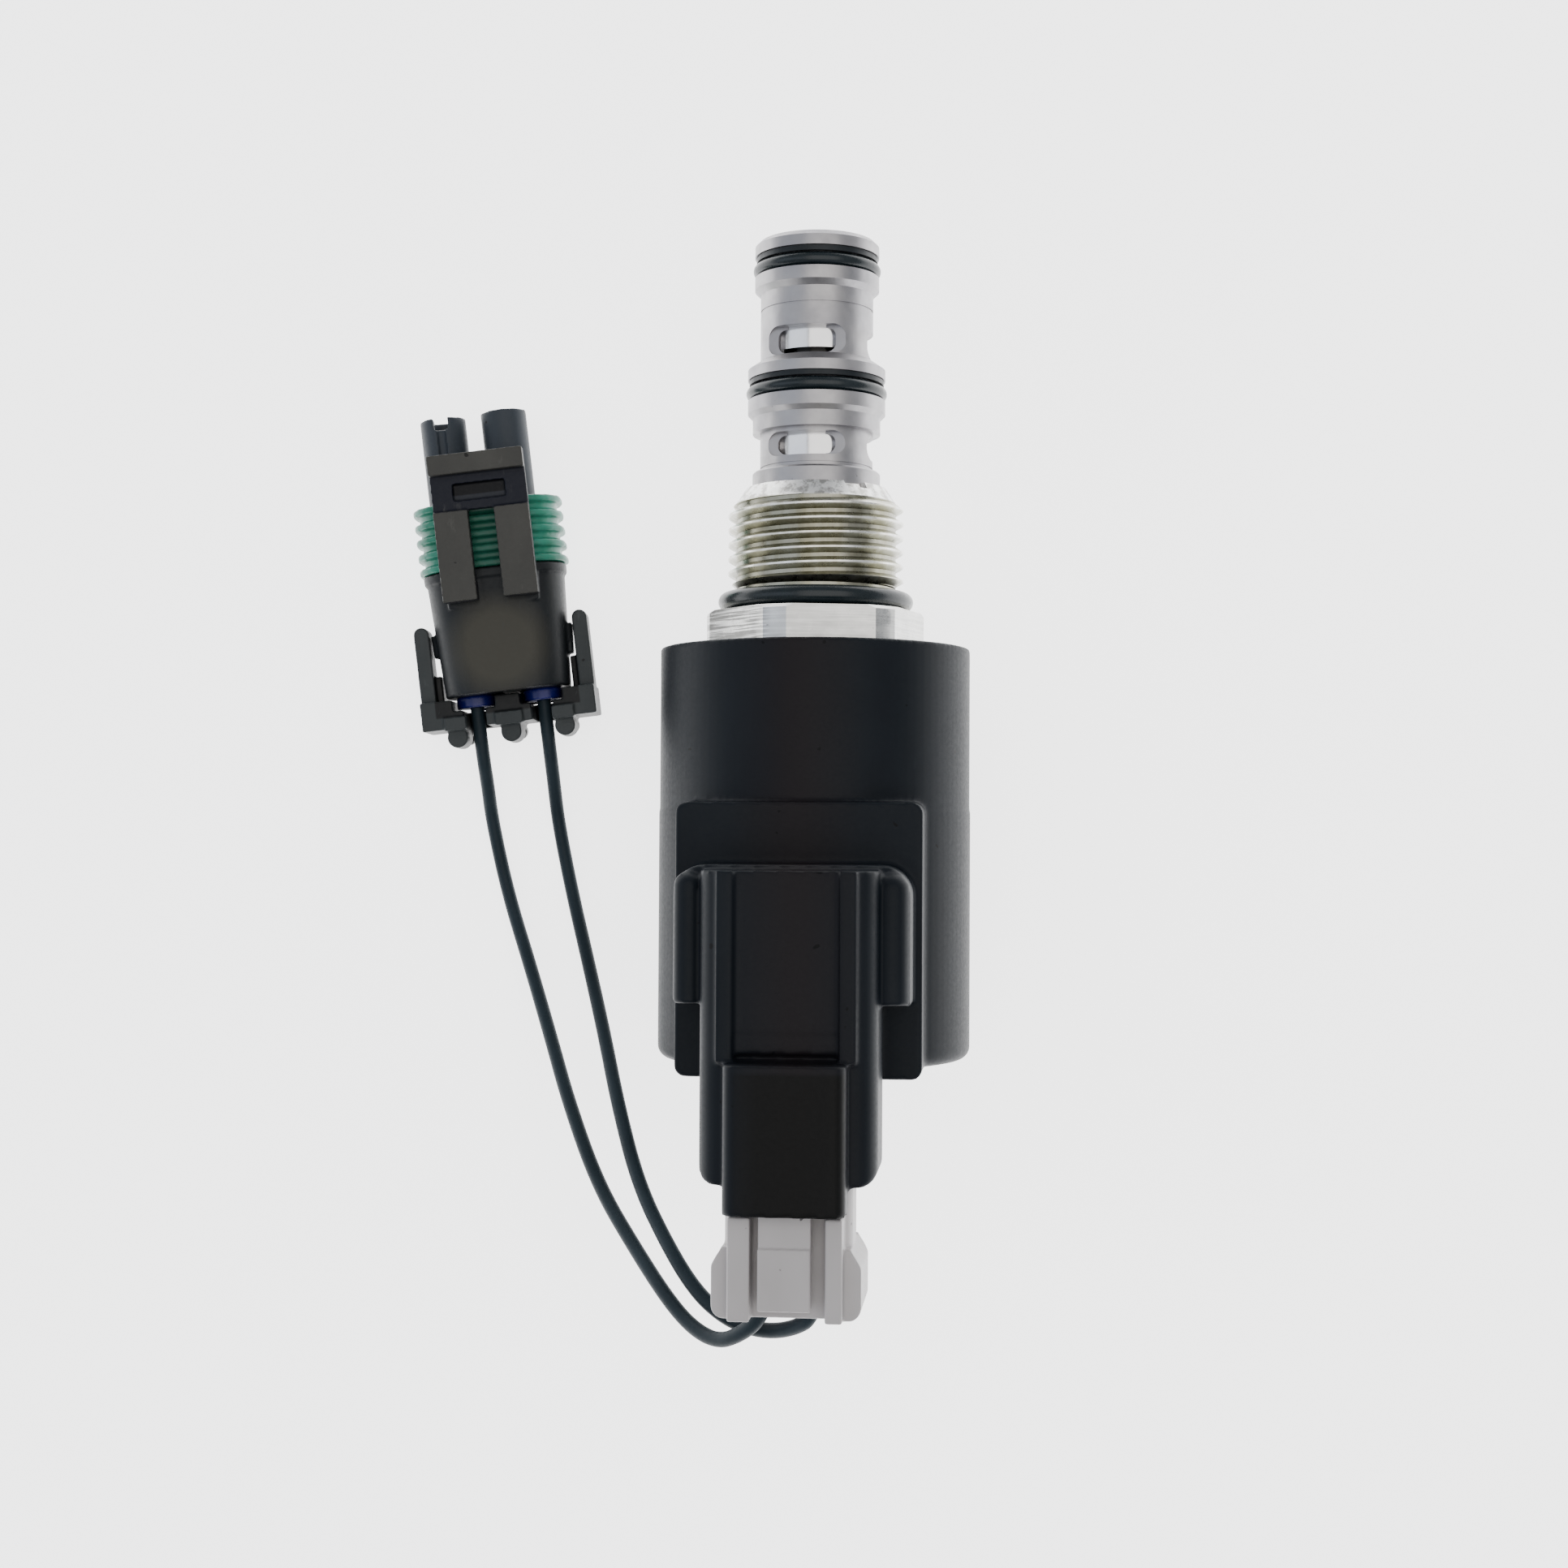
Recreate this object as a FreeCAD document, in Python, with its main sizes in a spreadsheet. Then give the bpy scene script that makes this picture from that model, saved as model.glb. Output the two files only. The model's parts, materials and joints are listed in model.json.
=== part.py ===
import FreeCAD, Part
import math
import os
import re
import Sketcher

# A three-way solenoid cartridge valve, 7/8-14 UNF, with its coil, mated plug and wire harness.
# Millimetres. The valve lies on its side: its axis is Y, with the nose towards +Y, and the
# origin is where that axis meets the hexagon's sealing face. +Z is up from the surface it lies on.

Vector = FreeCAD.Vector
Rotation = FreeCAD.Rotation
Placement = FreeCAD.Placement

DIMENSIONS = {
    # cage: the turned steel sleeve with the ports
    "nose_end": 47.1, "nose_chamfer": 0.6, "nose_land_radius": 7.9, "nose_land_foot": 41.0,
    "nose_groove_start": 42.6, "nose_groove_end": 45.2, "nose_groove_radius": 6.5,
    "nose_port_radius": 4.4, "nose_port_chamfer": 0.5, "nose_shoulder": 44.0,
    "neck_radius": 7.15, "upper_neck_end": 40.3, "tool_mark_depth": 0.12, "tool_mark_width": 0.25,
    "upper_mark": 38.1, "lower_mark": 18.1,
    "mid_land_radius": 8.73, "mid_land_start": 25.2, "mid_land_end": 30.8,
    "mid_groove_start": 26.9, "mid_groove_end": 29.5, "mid_groove_radius": 7.25,
    "upper_neck_start": 31.9, "step_radius": 8.1, "step_start": 22.7, "step_end": 24.6,
    "overrun": 1.0,  # how far a cutting solid runs past the face it starts from
    "cage_foot": 8.65, "cage_flange_radius": 8.1, "cage_flange_end": 17.8, "flange_chamfer": 0.25,
    "spool_bore_radius": 5.7,
    # port windows, cut in threes round the cage
    "window_half": 4.95, "window_corner": 1.4, "window_floor": 5.15, "window_reach": 9.5,
    "opening_half": 3.7, "opening_corner": 1.1, "opening_inset": 0.3, "opening_floor": 2.5,
    "upper_window_start": 31.9, "upper_window_end": 35.5,
    "lower_window_start": 19.2, "lower_window_end": 22.2, "window_clocking": -14.5,
    # adapter: hexagon, thread and crimped lip
    "hex_flats": 25.2, "hex_corner_radius": 13.75, "hex_thickness": 4.5, "hex_clocking": 7.8,
    "hex_chamfer": 0.4, "relief_radius": 9.95, "relief_end": 3.0, "thread_start": 3.9,
    "thread_radius": 11.1125, "thread_pitch": 1.8143, "thread_taper_start": 12.9,
    "helix_start": 1.3, "helix_end": 16.0, "thread_end": 13.8, "thread_nose_radius": 10.15,
    "lip_root_radius": 10.0, "lip_start": 14.0,
    "lip_end": 15.7, "lip_end_radius": 8.9, "lip_bore_radius": 8.15, "web_top": 8.6,
    "web_radius": 6.2, "tube_socket_end": 4.0, "tube_socket_radius": 7.63,
    # seals of the cartridge
    "thread_seal_radius": 11.2, "thread_seal_section": 1.15, "thread_seal_along": 1.35,
    "nose_seal_radius": 7.32, "nose_seal_section": 0.79, "nose_seal_along": 43.52,
    "nose_backup_inner": 6.56, "nose_backup_outer": 7.7, "nose_backup_start": 44.5,
    "nose_backup_end": 45.15,
    "mid_seal_radius": 8.11, "mid_seal_section": 0.83, "mid_seal_along": 27.85,
    "mid_backup_inner": 7.31, "mid_backup_outer": 8.55, "mid_backup_start": 28.85,
    "mid_backup_end": 29.45,
    # spool, stem and armature
    "spool_radius": 5.68, "spool_foot": 11.0, "spool_head": 43.9, "spool_neck_radius": 4.3,
    "spool_neck_start": 23.6, "spool_neck_end": 32.85, "spool_hollow_radius": 2.6,
    "spool_hollow_start": 18.0, "spool_cross_radius": 1.5, "spool_cross_along": 28.2,
    "balance_depth": 0.22, "balance_width": 0.3, "balance_first": 36.9, "balance_second": 39.4,
    "balance_low": 17.0,
    "slot_half_neck": 2.15, "slot_half_head": 3.15, "slot_neck_end": 13.5, "slot_head_end": 15.8,
    "slot_reach": 7.0,
    "stem_radius": 1.95, "stem_start": -6.0, "stem_head_radius": 2.95, "stem_head_start": 13.7,
    "stem_head_end": 15.5,
    "armature_radius": 6.68, "armature_low": -21.6, "armature_high": 2.5, "stem_hole_radius": 1.98,
    "relief_hole_radius": 1.0, "spring_pocket_radius": 3.4, "armature_pocket_end": -12.0,
    # guide tube, fixed pole and return spring
    "tube_inner": 6.75, "tube_outer": 7.6, "tube_start": -55.9, "tube_end": 3.95,
    "pole_radius": 6.72, "pole_face": -24.2, "pole_pocket_end": -30.0, "stud_radius": 5.0,
    "stud_end": -66.2, "stud_chamfer": 0.6,
    "spring_radius": 2.5, "spring_wire": 0.4, "spring_pitch": 2.9, "spring_start": -29.5,
    "spring_end": -12.5,
    # coil nut
    "nut_bore": 5.06, "nut_flats": 14.3, "nut_corner_radius": 8.1, "nut_start": -64.0,
    "nut_flange_start": -58.1, "nut_end": -56.1, "nut_flange_radius": 10.6,
    # coil: overmould, flux path and winding
    "coil_top": -4.6, "coil_end": -56.0, "coil_parting": -25.1, "coil_radius_top": 19.55,
    "coil_radius_low": 19.65, "coil_end_round": 1.5, "coil_cavity_radius": 17.02,
    "coil_cavity_start": -54.5, "coil_cavity_end": -6.0, "coil_mouth_radius": 9.8,
    "coil_bore": 7.68, "washer_thickness": 3.0, "washer_radius": 17.0,
    "can_inner": 15.5, "bobbin_barrel": 9.2, "bobbin_flange_radius": 15.4, "bobbin_flange": 1.2,
    "part_gap": 0.05, "winding_radius": 15.1,
    "coil_seal_radius": 8.4, "coil_seal_section": 0.68, "coil_seal_top": -5.3,
    "coil_seal_low": -55.22, "coil_roll": -6.0,
    # integral receptacle on the coil
    "pad_half_width": 14.6, "pad_low": -56.6, "pad_high": -24.2, "pad_foot": 12.0, "pad_face": 21.0,
    "pad_corner": 1.3,
    "ear_half_width": 13.6, "ear_low": -47.4, "ear_high": -31.5, "ear_top": 28.5,
    "ear_corner": 3.5, "ear_recess_inner": 10.3, "ear_recess_outer": 11.0,
    "ear_recess_floor": 26.4, "ear_recess_high": -39.9,
    "block_half_width": 10.15, "block_low": -67.3, "block_high": -32.1,
    "block_foot": 20.0, "block_top": 33.6,
    "block_round": 3.2, "block_end_round": 2.0,
    "rail_inner": 6.0, "rail_outer": 7.9, "rail_top": 34.4, "rail_foot": 33.0,
    "box_half_width": 6.9, "box_low": -70.2, "box_high": -53.5, "box_top": 37.0, "box_foot": 31.0,
    "box_round": 1.7, "latch_room_half": 4.4, "latch_room_top": 36.0, "latch_room_end": -55.0,
    "panel_pocket_half": 5.9, "panel_pocket_floor": 32.7, "panel_pocket_low": -53.4,
    "panel_pocket_high": -50.2,
    "mouth_half_width": 7.6, "mouth_half_height": 5.1, "mouth_floor": -50.0, "mouth_round": 3.0,
    "connector_height": 27.0,
    "pin_spacing_half": 2.85, "pin_radius": 0.75, "pin_root": -44.0, "pin_end": -61.0,
    # plug mated in the receptacle
    "plug_half_width": 7.3, "plug_half_height": 4.8, "plug_nose": -52.0, "plug_rear": -82.2,
    "plug_round": 2.6, "plug_hood_half": 8.45, "plug_hood_half_height": 5.9,
    "plug_hood_front": -74.2, "plug_hood_round": 1.5,
    "plug_rail_top": 34.6, "plug_rail_left": 3.9, "plug_rail_right": 4.5, "plug_rail_outer": 6.45,
    "plug_rail_front": -70.6,
    "plug_bore": 1.0, "seal_room_half": 5.6, "seal_room_half_height": 3.4, "seal_room_front": -74.5,
    "wire_seal_rear": -81.2, "wire_seal_front": -74.6, "contact_radius": 0.95,
    "contact_front": -54.0, "contact_hollow": 0.78, "contact_hollow_end": -62.0,
    "face_seal_front": -51.9, "face_seal_end": -51.3, "face_seal_inset": 0.6,
    "wedge_front": -50.3, "wedge_inset": 1.5,
    "lever_half_width": 2.95, "lever_rear": -80.9, "lever_front": -58.0, "lever_low": 33.0,
    "lever_top": 34.7, "lever_step": -74.0, "lever_thumb_top": 35.0, "lever_pivot": -74.0,
    "fulcrum_height": 32.55, "fulcrum_radius": 0.6, "lever_catch": 0.8,
    # wires
    "wire_diameter": 1.8,
    # tower connector: its own frame has u across, v towards the towers and w up
    "tower_x": -40.1, "tower_y": -12.1, "tower_turn": 7.05, "floor_height": -19.65,
    "tower_middle": 6.3, "shell_half_width": 9.1, "shell_half_height": 5.8, "shell_rear": 2.7,
    "shell_front": 18.9, "core_half_width": 7.4, "core_half_height": 4.1, "core_front": 28.2,
    "tower_spacing_half": 4.05, "tower_shift": 0.6, "tower_radius": 3.0, "tower_tip": 39.9,
    "left_tower_tip": 39.7, "notch_half": 0.95, "notch_depth": 1.6, "tower_groove_half": 0.55,
    "tower_groove_depth": 0.5,
    "socket_radius": 1.6, "shell_rim": 0.6, "shell_rim_depth": 1.2,
    "cable_spacing_half": 4.45, "cable_seal_radius": 2.3, "cable_lip_radius": 2.6,
    "cable_seal_rear": 1.2,
    "cable_seal_front": 7.0, "seal_pocket": 2.33, "terminal_radius": 1.55,
    "terminal_rear": 7.1, "terminal_front": 34.0,
    "rib_seal_rear": 19.0, "rib_seal_front": 27.8, "rib_half_width": 9.8, "rib_half_height": 6.2,
    "rib_groove": 0.8, "rib_width": 0.95, "rib_pitch": 1.9625,
    "arm_low": 13.4, "arm_plate_top": 14.4, "arm_top": 15.0, "arm_half_width": 6.2,
    "arm_leg_inner": 1.7,
    "arm_rear": 14.6, "arm_plate_rear": 26.3, "arm_front": 33.6, "arm_foot_front": 17.2,
    "arm_foot": 12.25, "heel_radius": 0.5, "arm_lip_rear": 31.0, "arm_lip_top": 15.5,
    "arm_window_half": 3.4,
    "arm_window_rear": 27.6, "arm_window_front": 29.8, "arm_window_floor": 13.75,
    "lock_inner": 9.5, "lock_outer": 11.5, "lock_arm_middle": 10.5, "lock_arm_end": 11.5,
    "lock_arm_end_radius": 1.0, "lock_arm_low": 4.4,
    "lock_arm_top": 8.2, "lock_rear": -1.4, "lock_bar_front": 0.9, "lock_bar_low": 1.4,
    "lock_bar_top": 9.8, "lock_slot_half": 1.45, "lock_slot_low": 3.5, "lock_shelf_front": 2.4,
    "lock_shelf_gap": 0.2, "strap_top": 9.2,
    "hinge_height": 1.25, "hinge_along": -2.2, "hinge_radius": 1.1, "hinge_half_length": 1.3,
    "hinge_spacing": 7.0, "catch_rear": 8.6, "catch_front": 10.8, "catch_height": 0.3,
}

WINDOWS = 3
HEX_SIDES = 6
TWO_PI = 2 * math.pi
THREAD_DEPTH = 5 / 8 * math.sqrt(3) / 2      # shares of the pitch
CREST_FLAT = 1 / 8
ROOT_FLAT = 1 / 4
ANGLE_TOLERANCE = 1e-6

doc = FreeCAD.newDocument("solenoid_cartridge_valve")
sheet = doc.addObject("Spreadsheet::Sheet", "dims")
sheet.Label = "dims"
for row, (alias, size) in enumerate(DIMENSIONS.items(), start=1):
    sheet.set("A%d" % row, alias)
    sheet.set("B%d" % row, str(size))
    sheet.setAlias("B%d" % row, alias)
doc.recompute()

subparts = []


# ---- reading sizes ---------------------------------------------------------------------------

def terms(text):
    """Split 'a+b-c' into (sign, alias) pairs; '0' has none."""
    return re.findall(r"([+-]?)([a-z]\w*)", text)


def number(text):
    """The size in millimetres that a sum of aliases stands for."""
    return sum((-1 if sign == "-" else 1) * sheet.get(name) for sign, name in terms(text))


def formula(text):
    """The same sum as a spreadsheet expression."""
    return "".join("%sdims.%s" % (sign or "+", name) for sign, name in terms(text)).lstrip("+")


def difference(high, low):
    """The expression and value of high minus low."""
    swapped = "".join(
        ("-" if sign != "-" else "+") + name for sign, name in terms(low)
    )
    return high + swapped if terms(high) else swapped.lstrip("+")


def bind(thing, path, text):
    """Bind one property to a sum of spreadsheet cells."""
    if terms(text):
        thing.setExpression(path, formula(text))


# ---- building blocks -------------------------------------------------------------------------

def origin_feature(body, role):
    """One of a body's own origin planes or axes."""
    return next(f for f in body.Origin.OriginFeatures if f.Role == role)


def outline_sketch(body, name, points, role="XY_Plane"):
    """A closed outline on one of the body's planes, each corner held by two distances."""
    sketch = body.newObject("Sketcher::SketchObject", name)
    sketch.AttachmentSupport = [(origin_feature(body, role), "")]
    sketch.MapMode = "FlatFace"
    places = [Vector(number(across), number(along), 0) for across, along in points]
    for index, place in enumerate(places):
        sketch.addGeometry(Part.LineSegment(place, places[(index + 1) % len(places)]), False)
    for index in range(len(places)):
        follower = (index + 1) % len(places)
        sketch.addConstraint(Sketcher.Constraint("Coincident", index, 2, follower, 1))
    for index, (texts, place) in enumerate(zip(points, places)):
        for kind, axis, text, value in (
            ("DistanceX", -2, texts[0], place.x), ("DistanceY", -1, texts[1], place.y),
        ):
            if terms(text):
                held = sketch.addConstraint(Sketcher.Constraint(kind, -1, 1, index, 1, value))
                bind(sketch, "Constraints[%d]" % held, text)
            else:
                sketch.addConstraint(Sketcher.Constraint("PointOnObject", index, 1, axis))
    return sketch


def turned(name, points):
    """A body turned about the Y axis from (radius, along) corners."""
    body = doc.addObject("PartDesign::Body", name)
    sketch = outline_sketch(body, name + "_outline", points)
    turning = body.newObject("PartDesign::Revolution", name + "_turning")
    turning.Profile = sketch
    turning.ReferenceAxis = (sketch, ["V_Axis"])
    turning.Angle = 360.0
    doc.recompute()
    return body


def block(name, low, high):
    """A box between two corners, each given by three sums of sizes."""
    box = doc.addObject("Part::Box", name)
    for path, top, bottom in zip(("Length", "Width", "Height"), high, low):
        bind(box, path, difference(top, bottom))
    for path, start in zip("xyz", low):
        bind(box, "Placement.Base." + path, start)
    doc.recompute()
    return box


def rod(name, radius, start, end, across="0", height="0"):
    """A cylinder along Y from start to the higher end."""
    cylinder = doc.addObject("Part::Cylinder", name)
    cylinder.Placement = Placement(Vector(0, 0, 0), Rotation(Vector(1, 0, 0), -90))
    bind(cylinder, "Radius", radius)
    bind(cylinder, "Height", difference(end, start))
    for path, text in (("x", across), ("y", start), ("z", height)):
        bind(cylinder, "Placement.Base." + path, text)
    doc.recompute()
    return cylinder


def cross_rod(name, radius, left, right, along, height):
    """A cylinder along X from left to right."""
    cylinder = doc.addObject("Part::Cylinder", name)
    cylinder.Placement = Placement(Vector(0, 0, 0), Rotation(Vector(0, 1, 0), 90))
    bind(cylinder, "Radius", radius)
    bind(cylinder, "Height", difference(right, left))
    for path, text in (("x", left), ("y", along), ("z", height)):
        bind(cylinder, "Placement.Base." + path, text)
    doc.recompute()
    return cylinder


def ring(name, radius, section, along):
    """An O-ring about the Y axis."""
    torus = doc.addObject("Part::Torus", name)
    torus.Placement = Placement(Vector(0, 0, 0), Rotation(Vector(1, 0, 0), -90))
    bind(torus, "Radius1", radius)
    bind(torus, "Radius2", section)
    bind(torus, "Placement.Base.y", along)
    return torus


def joined(name, pieces):
    """One solid from several that overlap."""
    union = doc.addObject("Part::MultiFuse", name)
    union.Shapes = pieces
    doc.recompute()
    return union


def shared(name, first, second):
    """The space that two solids share."""
    common = doc.addObject("Part::Common", name)
    common.Base = first
    common.Tool = second
    doc.recompute()
    return common


def cut(name, base, tools):
    """The base with the tools' space taken out."""
    tool = tools[0] if len(tools) == 1 else joined(name + "_tools", tools)
    difference_feature = doc.addObject("Part::Cut", name)
    difference_feature.Base = base
    difference_feature.Tool = tool
    doc.recompute()
    return difference_feature


def group(name, pieces):
    """Separate identical pieces in one node."""
    compound = doc.addObject("Part::Compound", name)
    compound.Links = pieces
    doc.recompute()
    return compound


def edges_along(shape, axis, where=None):
    """Numbers of the straight edges that run along an axis, where a test holds."""
    found = []
    for index, edge in enumerate(shape.Edges, start=1):
        if not isinstance(edge.Curve, Part.Line):
            continue
        direction = edge.Vertexes[1].Point - edge.Vertexes[0].Point
        if abs(abs(direction.normalize().dot(axis)) - 1) < ANGLE_TOLERANCE:
            if where is None or where(edge.CenterOfMass):
                found.append(index)
    return found


def rounded(name, base, radius, axis, where=None):
    """The base with its edges along an axis rounded."""
    fillet = doc.addObject("Part::Fillet", name)
    fillet.Base = base
    size = number(radius)
    fillet.Edges = [(index, size, size) for index in edges_along(base.Shape, axis, where)]
    doc.recompute()
    return fillet


def keep(node, feature, place=None):
    """Name a finished sub-part and put it in its place."""
    feature.Label = node
    if place is not None:
        feature.Placement = place
    subparts.append((node, feature))
    return feature


ALONG_X = Vector(1, 0, 0)
ALONG_Y = Vector(0, 1, 0)
ALONG_Z = Vector(0, 0, 1)
COIL_PLACE = Placement(Vector(0, 0, 0), Rotation(ALONG_Y, number("coil_roll")))
TOWER_PLACE = Placement(
    Vector(number("tower_x"), number("tower_y"), number("floor_height")),
    Rotation(ALONG_Z, number("tower_turn")),
)


# ---- cage ------------------------------------------------------------------------------------

def groove_points(radius, start, depth, width):
    """Four corners of a shallow turned groove, from its low side to its high side."""
    floor = radius + "-" + depth
    return [(radius, start), (floor, start), (floor, start + "+" + width),
            (radius, start + "+" + width)]


def window_pocket(body, name, half, start, end, corner, floor):
    """A rounded slot milled across the cage, from its flat floor outwards."""
    sketch = body.newObject("Sketcher::SketchObject", name + "_outline")
    sketch.AttachmentSupport = [(origin_feature(body, "XY_Plane"), "")]
    sketch.MapMode = "FlatFace"
    bind(sketch, "AttachmentOffset.Base.z", floor)
    radius = number(corner)
    side = number(half) - radius
    low, high = number(start) + radius, number(end) - radius
    quarter = math.pi / 2
    arcs = []
    for turn, (x, y) in enumerate(((side, high), (-side, high), (-side, low), (side, low))):
        circle = Part.Circle(Vector(x, y, 0), ALONG_Z, radius)
        arcs.append(Part.ArcOfCircle(circle, turn * quarter, (turn + 1) * quarter))
    # the corner arcs are geometry 0, 2, 4 and 6; the top, left, bottom and right sides lie between
    for index, arc in enumerate(arcs):
        sketch.addGeometry(arc, False)
        sketch.addGeometry(Part.LineSegment(arc.EndPoint, arcs[(index + 1) % 4].StartPoint), False)
    for index in range(8):
        sketch.addConstraint(Sketcher.Constraint("Tangent", index, 2, (index + 1) % 8, 1))
    for line, direction in ((1, "Horizontal"), (3, "Vertical"), (5, "Horizontal"), (7, "Vertical")):
        sketch.addConstraint(Sketcher.Constraint(direction, line))
    for arc in (2, 4, 6):
        sketch.addConstraint(Sketcher.Constraint("Equal", 0, arc))
    held = sketch.addConstraint(Sketcher.Constraint("Radius", 0, radius))
    bind(sketch, "Constraints[%d]" % held, corner)
    for kind, line, size in (
        ("DistanceY", 1, end), ("DistanceX", 3, "-" + half), ("DistanceY", 5, start),
        ("DistanceX", 7, half),
    ):
        held = sketch.addConstraint(Sketcher.Constraint(kind, -1, 1, line, 1, number(size)))
        bind(sketch, "Constraints[%d]" % held, size)
    pocket = body.newObject("PartDesign::Pocket", name)
    pocket.Profile = sketch
    pocket.Reversed = True
    bind(pocket, "Length", "window_reach")
    doc.recompute()
    return pocket


def make_cage():
    outline = (
        [("spool_bore_radius", "cage_foot"), ("cage_flange_radius", "cage_foot"),
         ("cage_flange_radius", "cage_flange_end-flange_chamfer"),
         ("cage_flange_radius-flange_chamfer", "cage_flange_end"),
         ("neck_radius", "cage_flange_end")]
        + groove_points("neck_radius", "lower_mark", "tool_mark_depth", "tool_mark_width")
        + [("neck_radius", "step_start"), ("step_radius", "step_start"),
           ("step_radius", "step_end"), ("mid_land_radius", "mid_land_start"),
           ("mid_land_radius", "mid_groove_start"), ("mid_groove_radius", "mid_groove_start"),
           ("mid_groove_radius", "mid_groove_end"), ("mid_land_radius", "mid_groove_end"),
           ("mid_land_radius", "mid_land_end"), ("neck_radius", "upper_neck_start")]
        + groove_points("neck_radius", "upper_mark", "tool_mark_depth", "tool_mark_width")
        + [("neck_radius", "upper_neck_end"), ("nose_land_radius", "nose_land_foot"),
           ("nose_land_radius", "nose_groove_start"), ("nose_groove_radius", "nose_groove_start"),
           ("nose_groove_radius", "nose_groove_end"), ("nose_land_radius", "nose_groove_end"),
           ("nose_land_radius", "nose_end-nose_chamfer"),
           ("nose_land_radius-nose_chamfer", "nose_end"),
           ("nose_port_radius+nose_port_chamfer", "nose_end"),
           ("nose_port_radius", "nose_end-nose_port_chamfer"),
           ("nose_port_radius", "nose_shoulder"), ("spool_bore_radius", "nose_shoulder")]
    )
    cage = turned("cage", outline)
    solid_volume = cage.Shape.Volume
    pockets = []
    for which in ("upper", "lower"):
        start, end = which + "_window_start", which + "_window_end"
        pockets.append(window_pocket(
            cage, which + "_window", "window_half", start, end, "window_corner", "window_floor"))
        pockets.append(window_pocket(
            cage, which + "_opening", "opening_half", start + "+opening_inset",
            end + "-opening_inset", "opening_corner", "opening_floor"))
    one_side = solid_volume - cage.Shape.Volume
    pattern = cage.newObject("PartDesign::PolarPattern", "windows")
    pattern.Originals = pockets
    pattern.Axis = (origin_feature(cage, "Y_Axis"), [""])
    pattern.Angle = 360.0
    pattern.Occurrences = WINDOWS
    cage.Tip = pattern
    doc.recompute()
    removed = solid_volume - cage.Shape.Volume
    if one_side <= 0 or abs(removed - WINDOWS * one_side) > 0.01 * removed:
        raise RuntimeError("the cage windows were not all cut")
    keep("cage", cage, Placement(Vector(0, 0, 0), Rotation(ALONG_Y, number("window_clocking"))))


# ---- adapter ---------------------------------------------------------------------------------

def groove_area():
    """Section of the space between two crests, square millimetres."""
    pitch = number("thread_pitch")
    return pitch * THREAD_DEPTH * pitch * (1 - CREST_FLAT + ROOT_FLAT) / 2


def thread_cutter():
    """The helical space between the thread's crests, right-handed along the Y axis."""
    pitch = number("thread_pitch")
    crest = number("thread_radius")
    depth = pitch * THREAD_DEPTH
    outside = 0.15
    root_flat = pitch * ROOT_FLAT
    outer_half = pitch * (1 - CREST_FLAT) / 2 + outside * math.tan(math.radians(30))
    start = number("helix_start")
    corners = [
        Vector(crest - depth, 0, -root_flat / 2), Vector(crest + outside, 0, -outer_half),
        Vector(crest + outside, 0, outer_half), Vector(crest - depth, 0, root_flat / 2),
    ]
    helix = Part.makeHelix(pitch, number("helix_end-helix_start"), crest)
    profile = Part.makePolygon(corners + corners[:1])
    cutter = Part.Wire(helix.Edges).makePipeShell([profile], True, True)
    cutter.rotate(Vector(0, 0, 0), ALONG_X, -90)
    cutter.translate(Vector(0, start, 0))
    feature = doc.addObject("Part::Feature", "thread_groove")
    feature.Shape = cutter
    return feature


def hexagon(name, flats, start, end, clocking):
    """A hexagonal prism along Y with one flat turned by an angle from straight up."""
    prism = doc.addObject("Part::Prism", name)
    prism.Polygon = HEX_SIDES
    prism.Circumradius = number(flats) / 2 / math.cos(math.pi / HEX_SIDES)
    bind(prism, "Height", difference(end, start))
    turn = Rotation(ALONG_Y, clocking).multiply(Rotation(ALONG_X, -90))
    prism.Placement = Placement(Vector(0, number(start), 0), turn)
    doc.recompute()
    return prism


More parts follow.
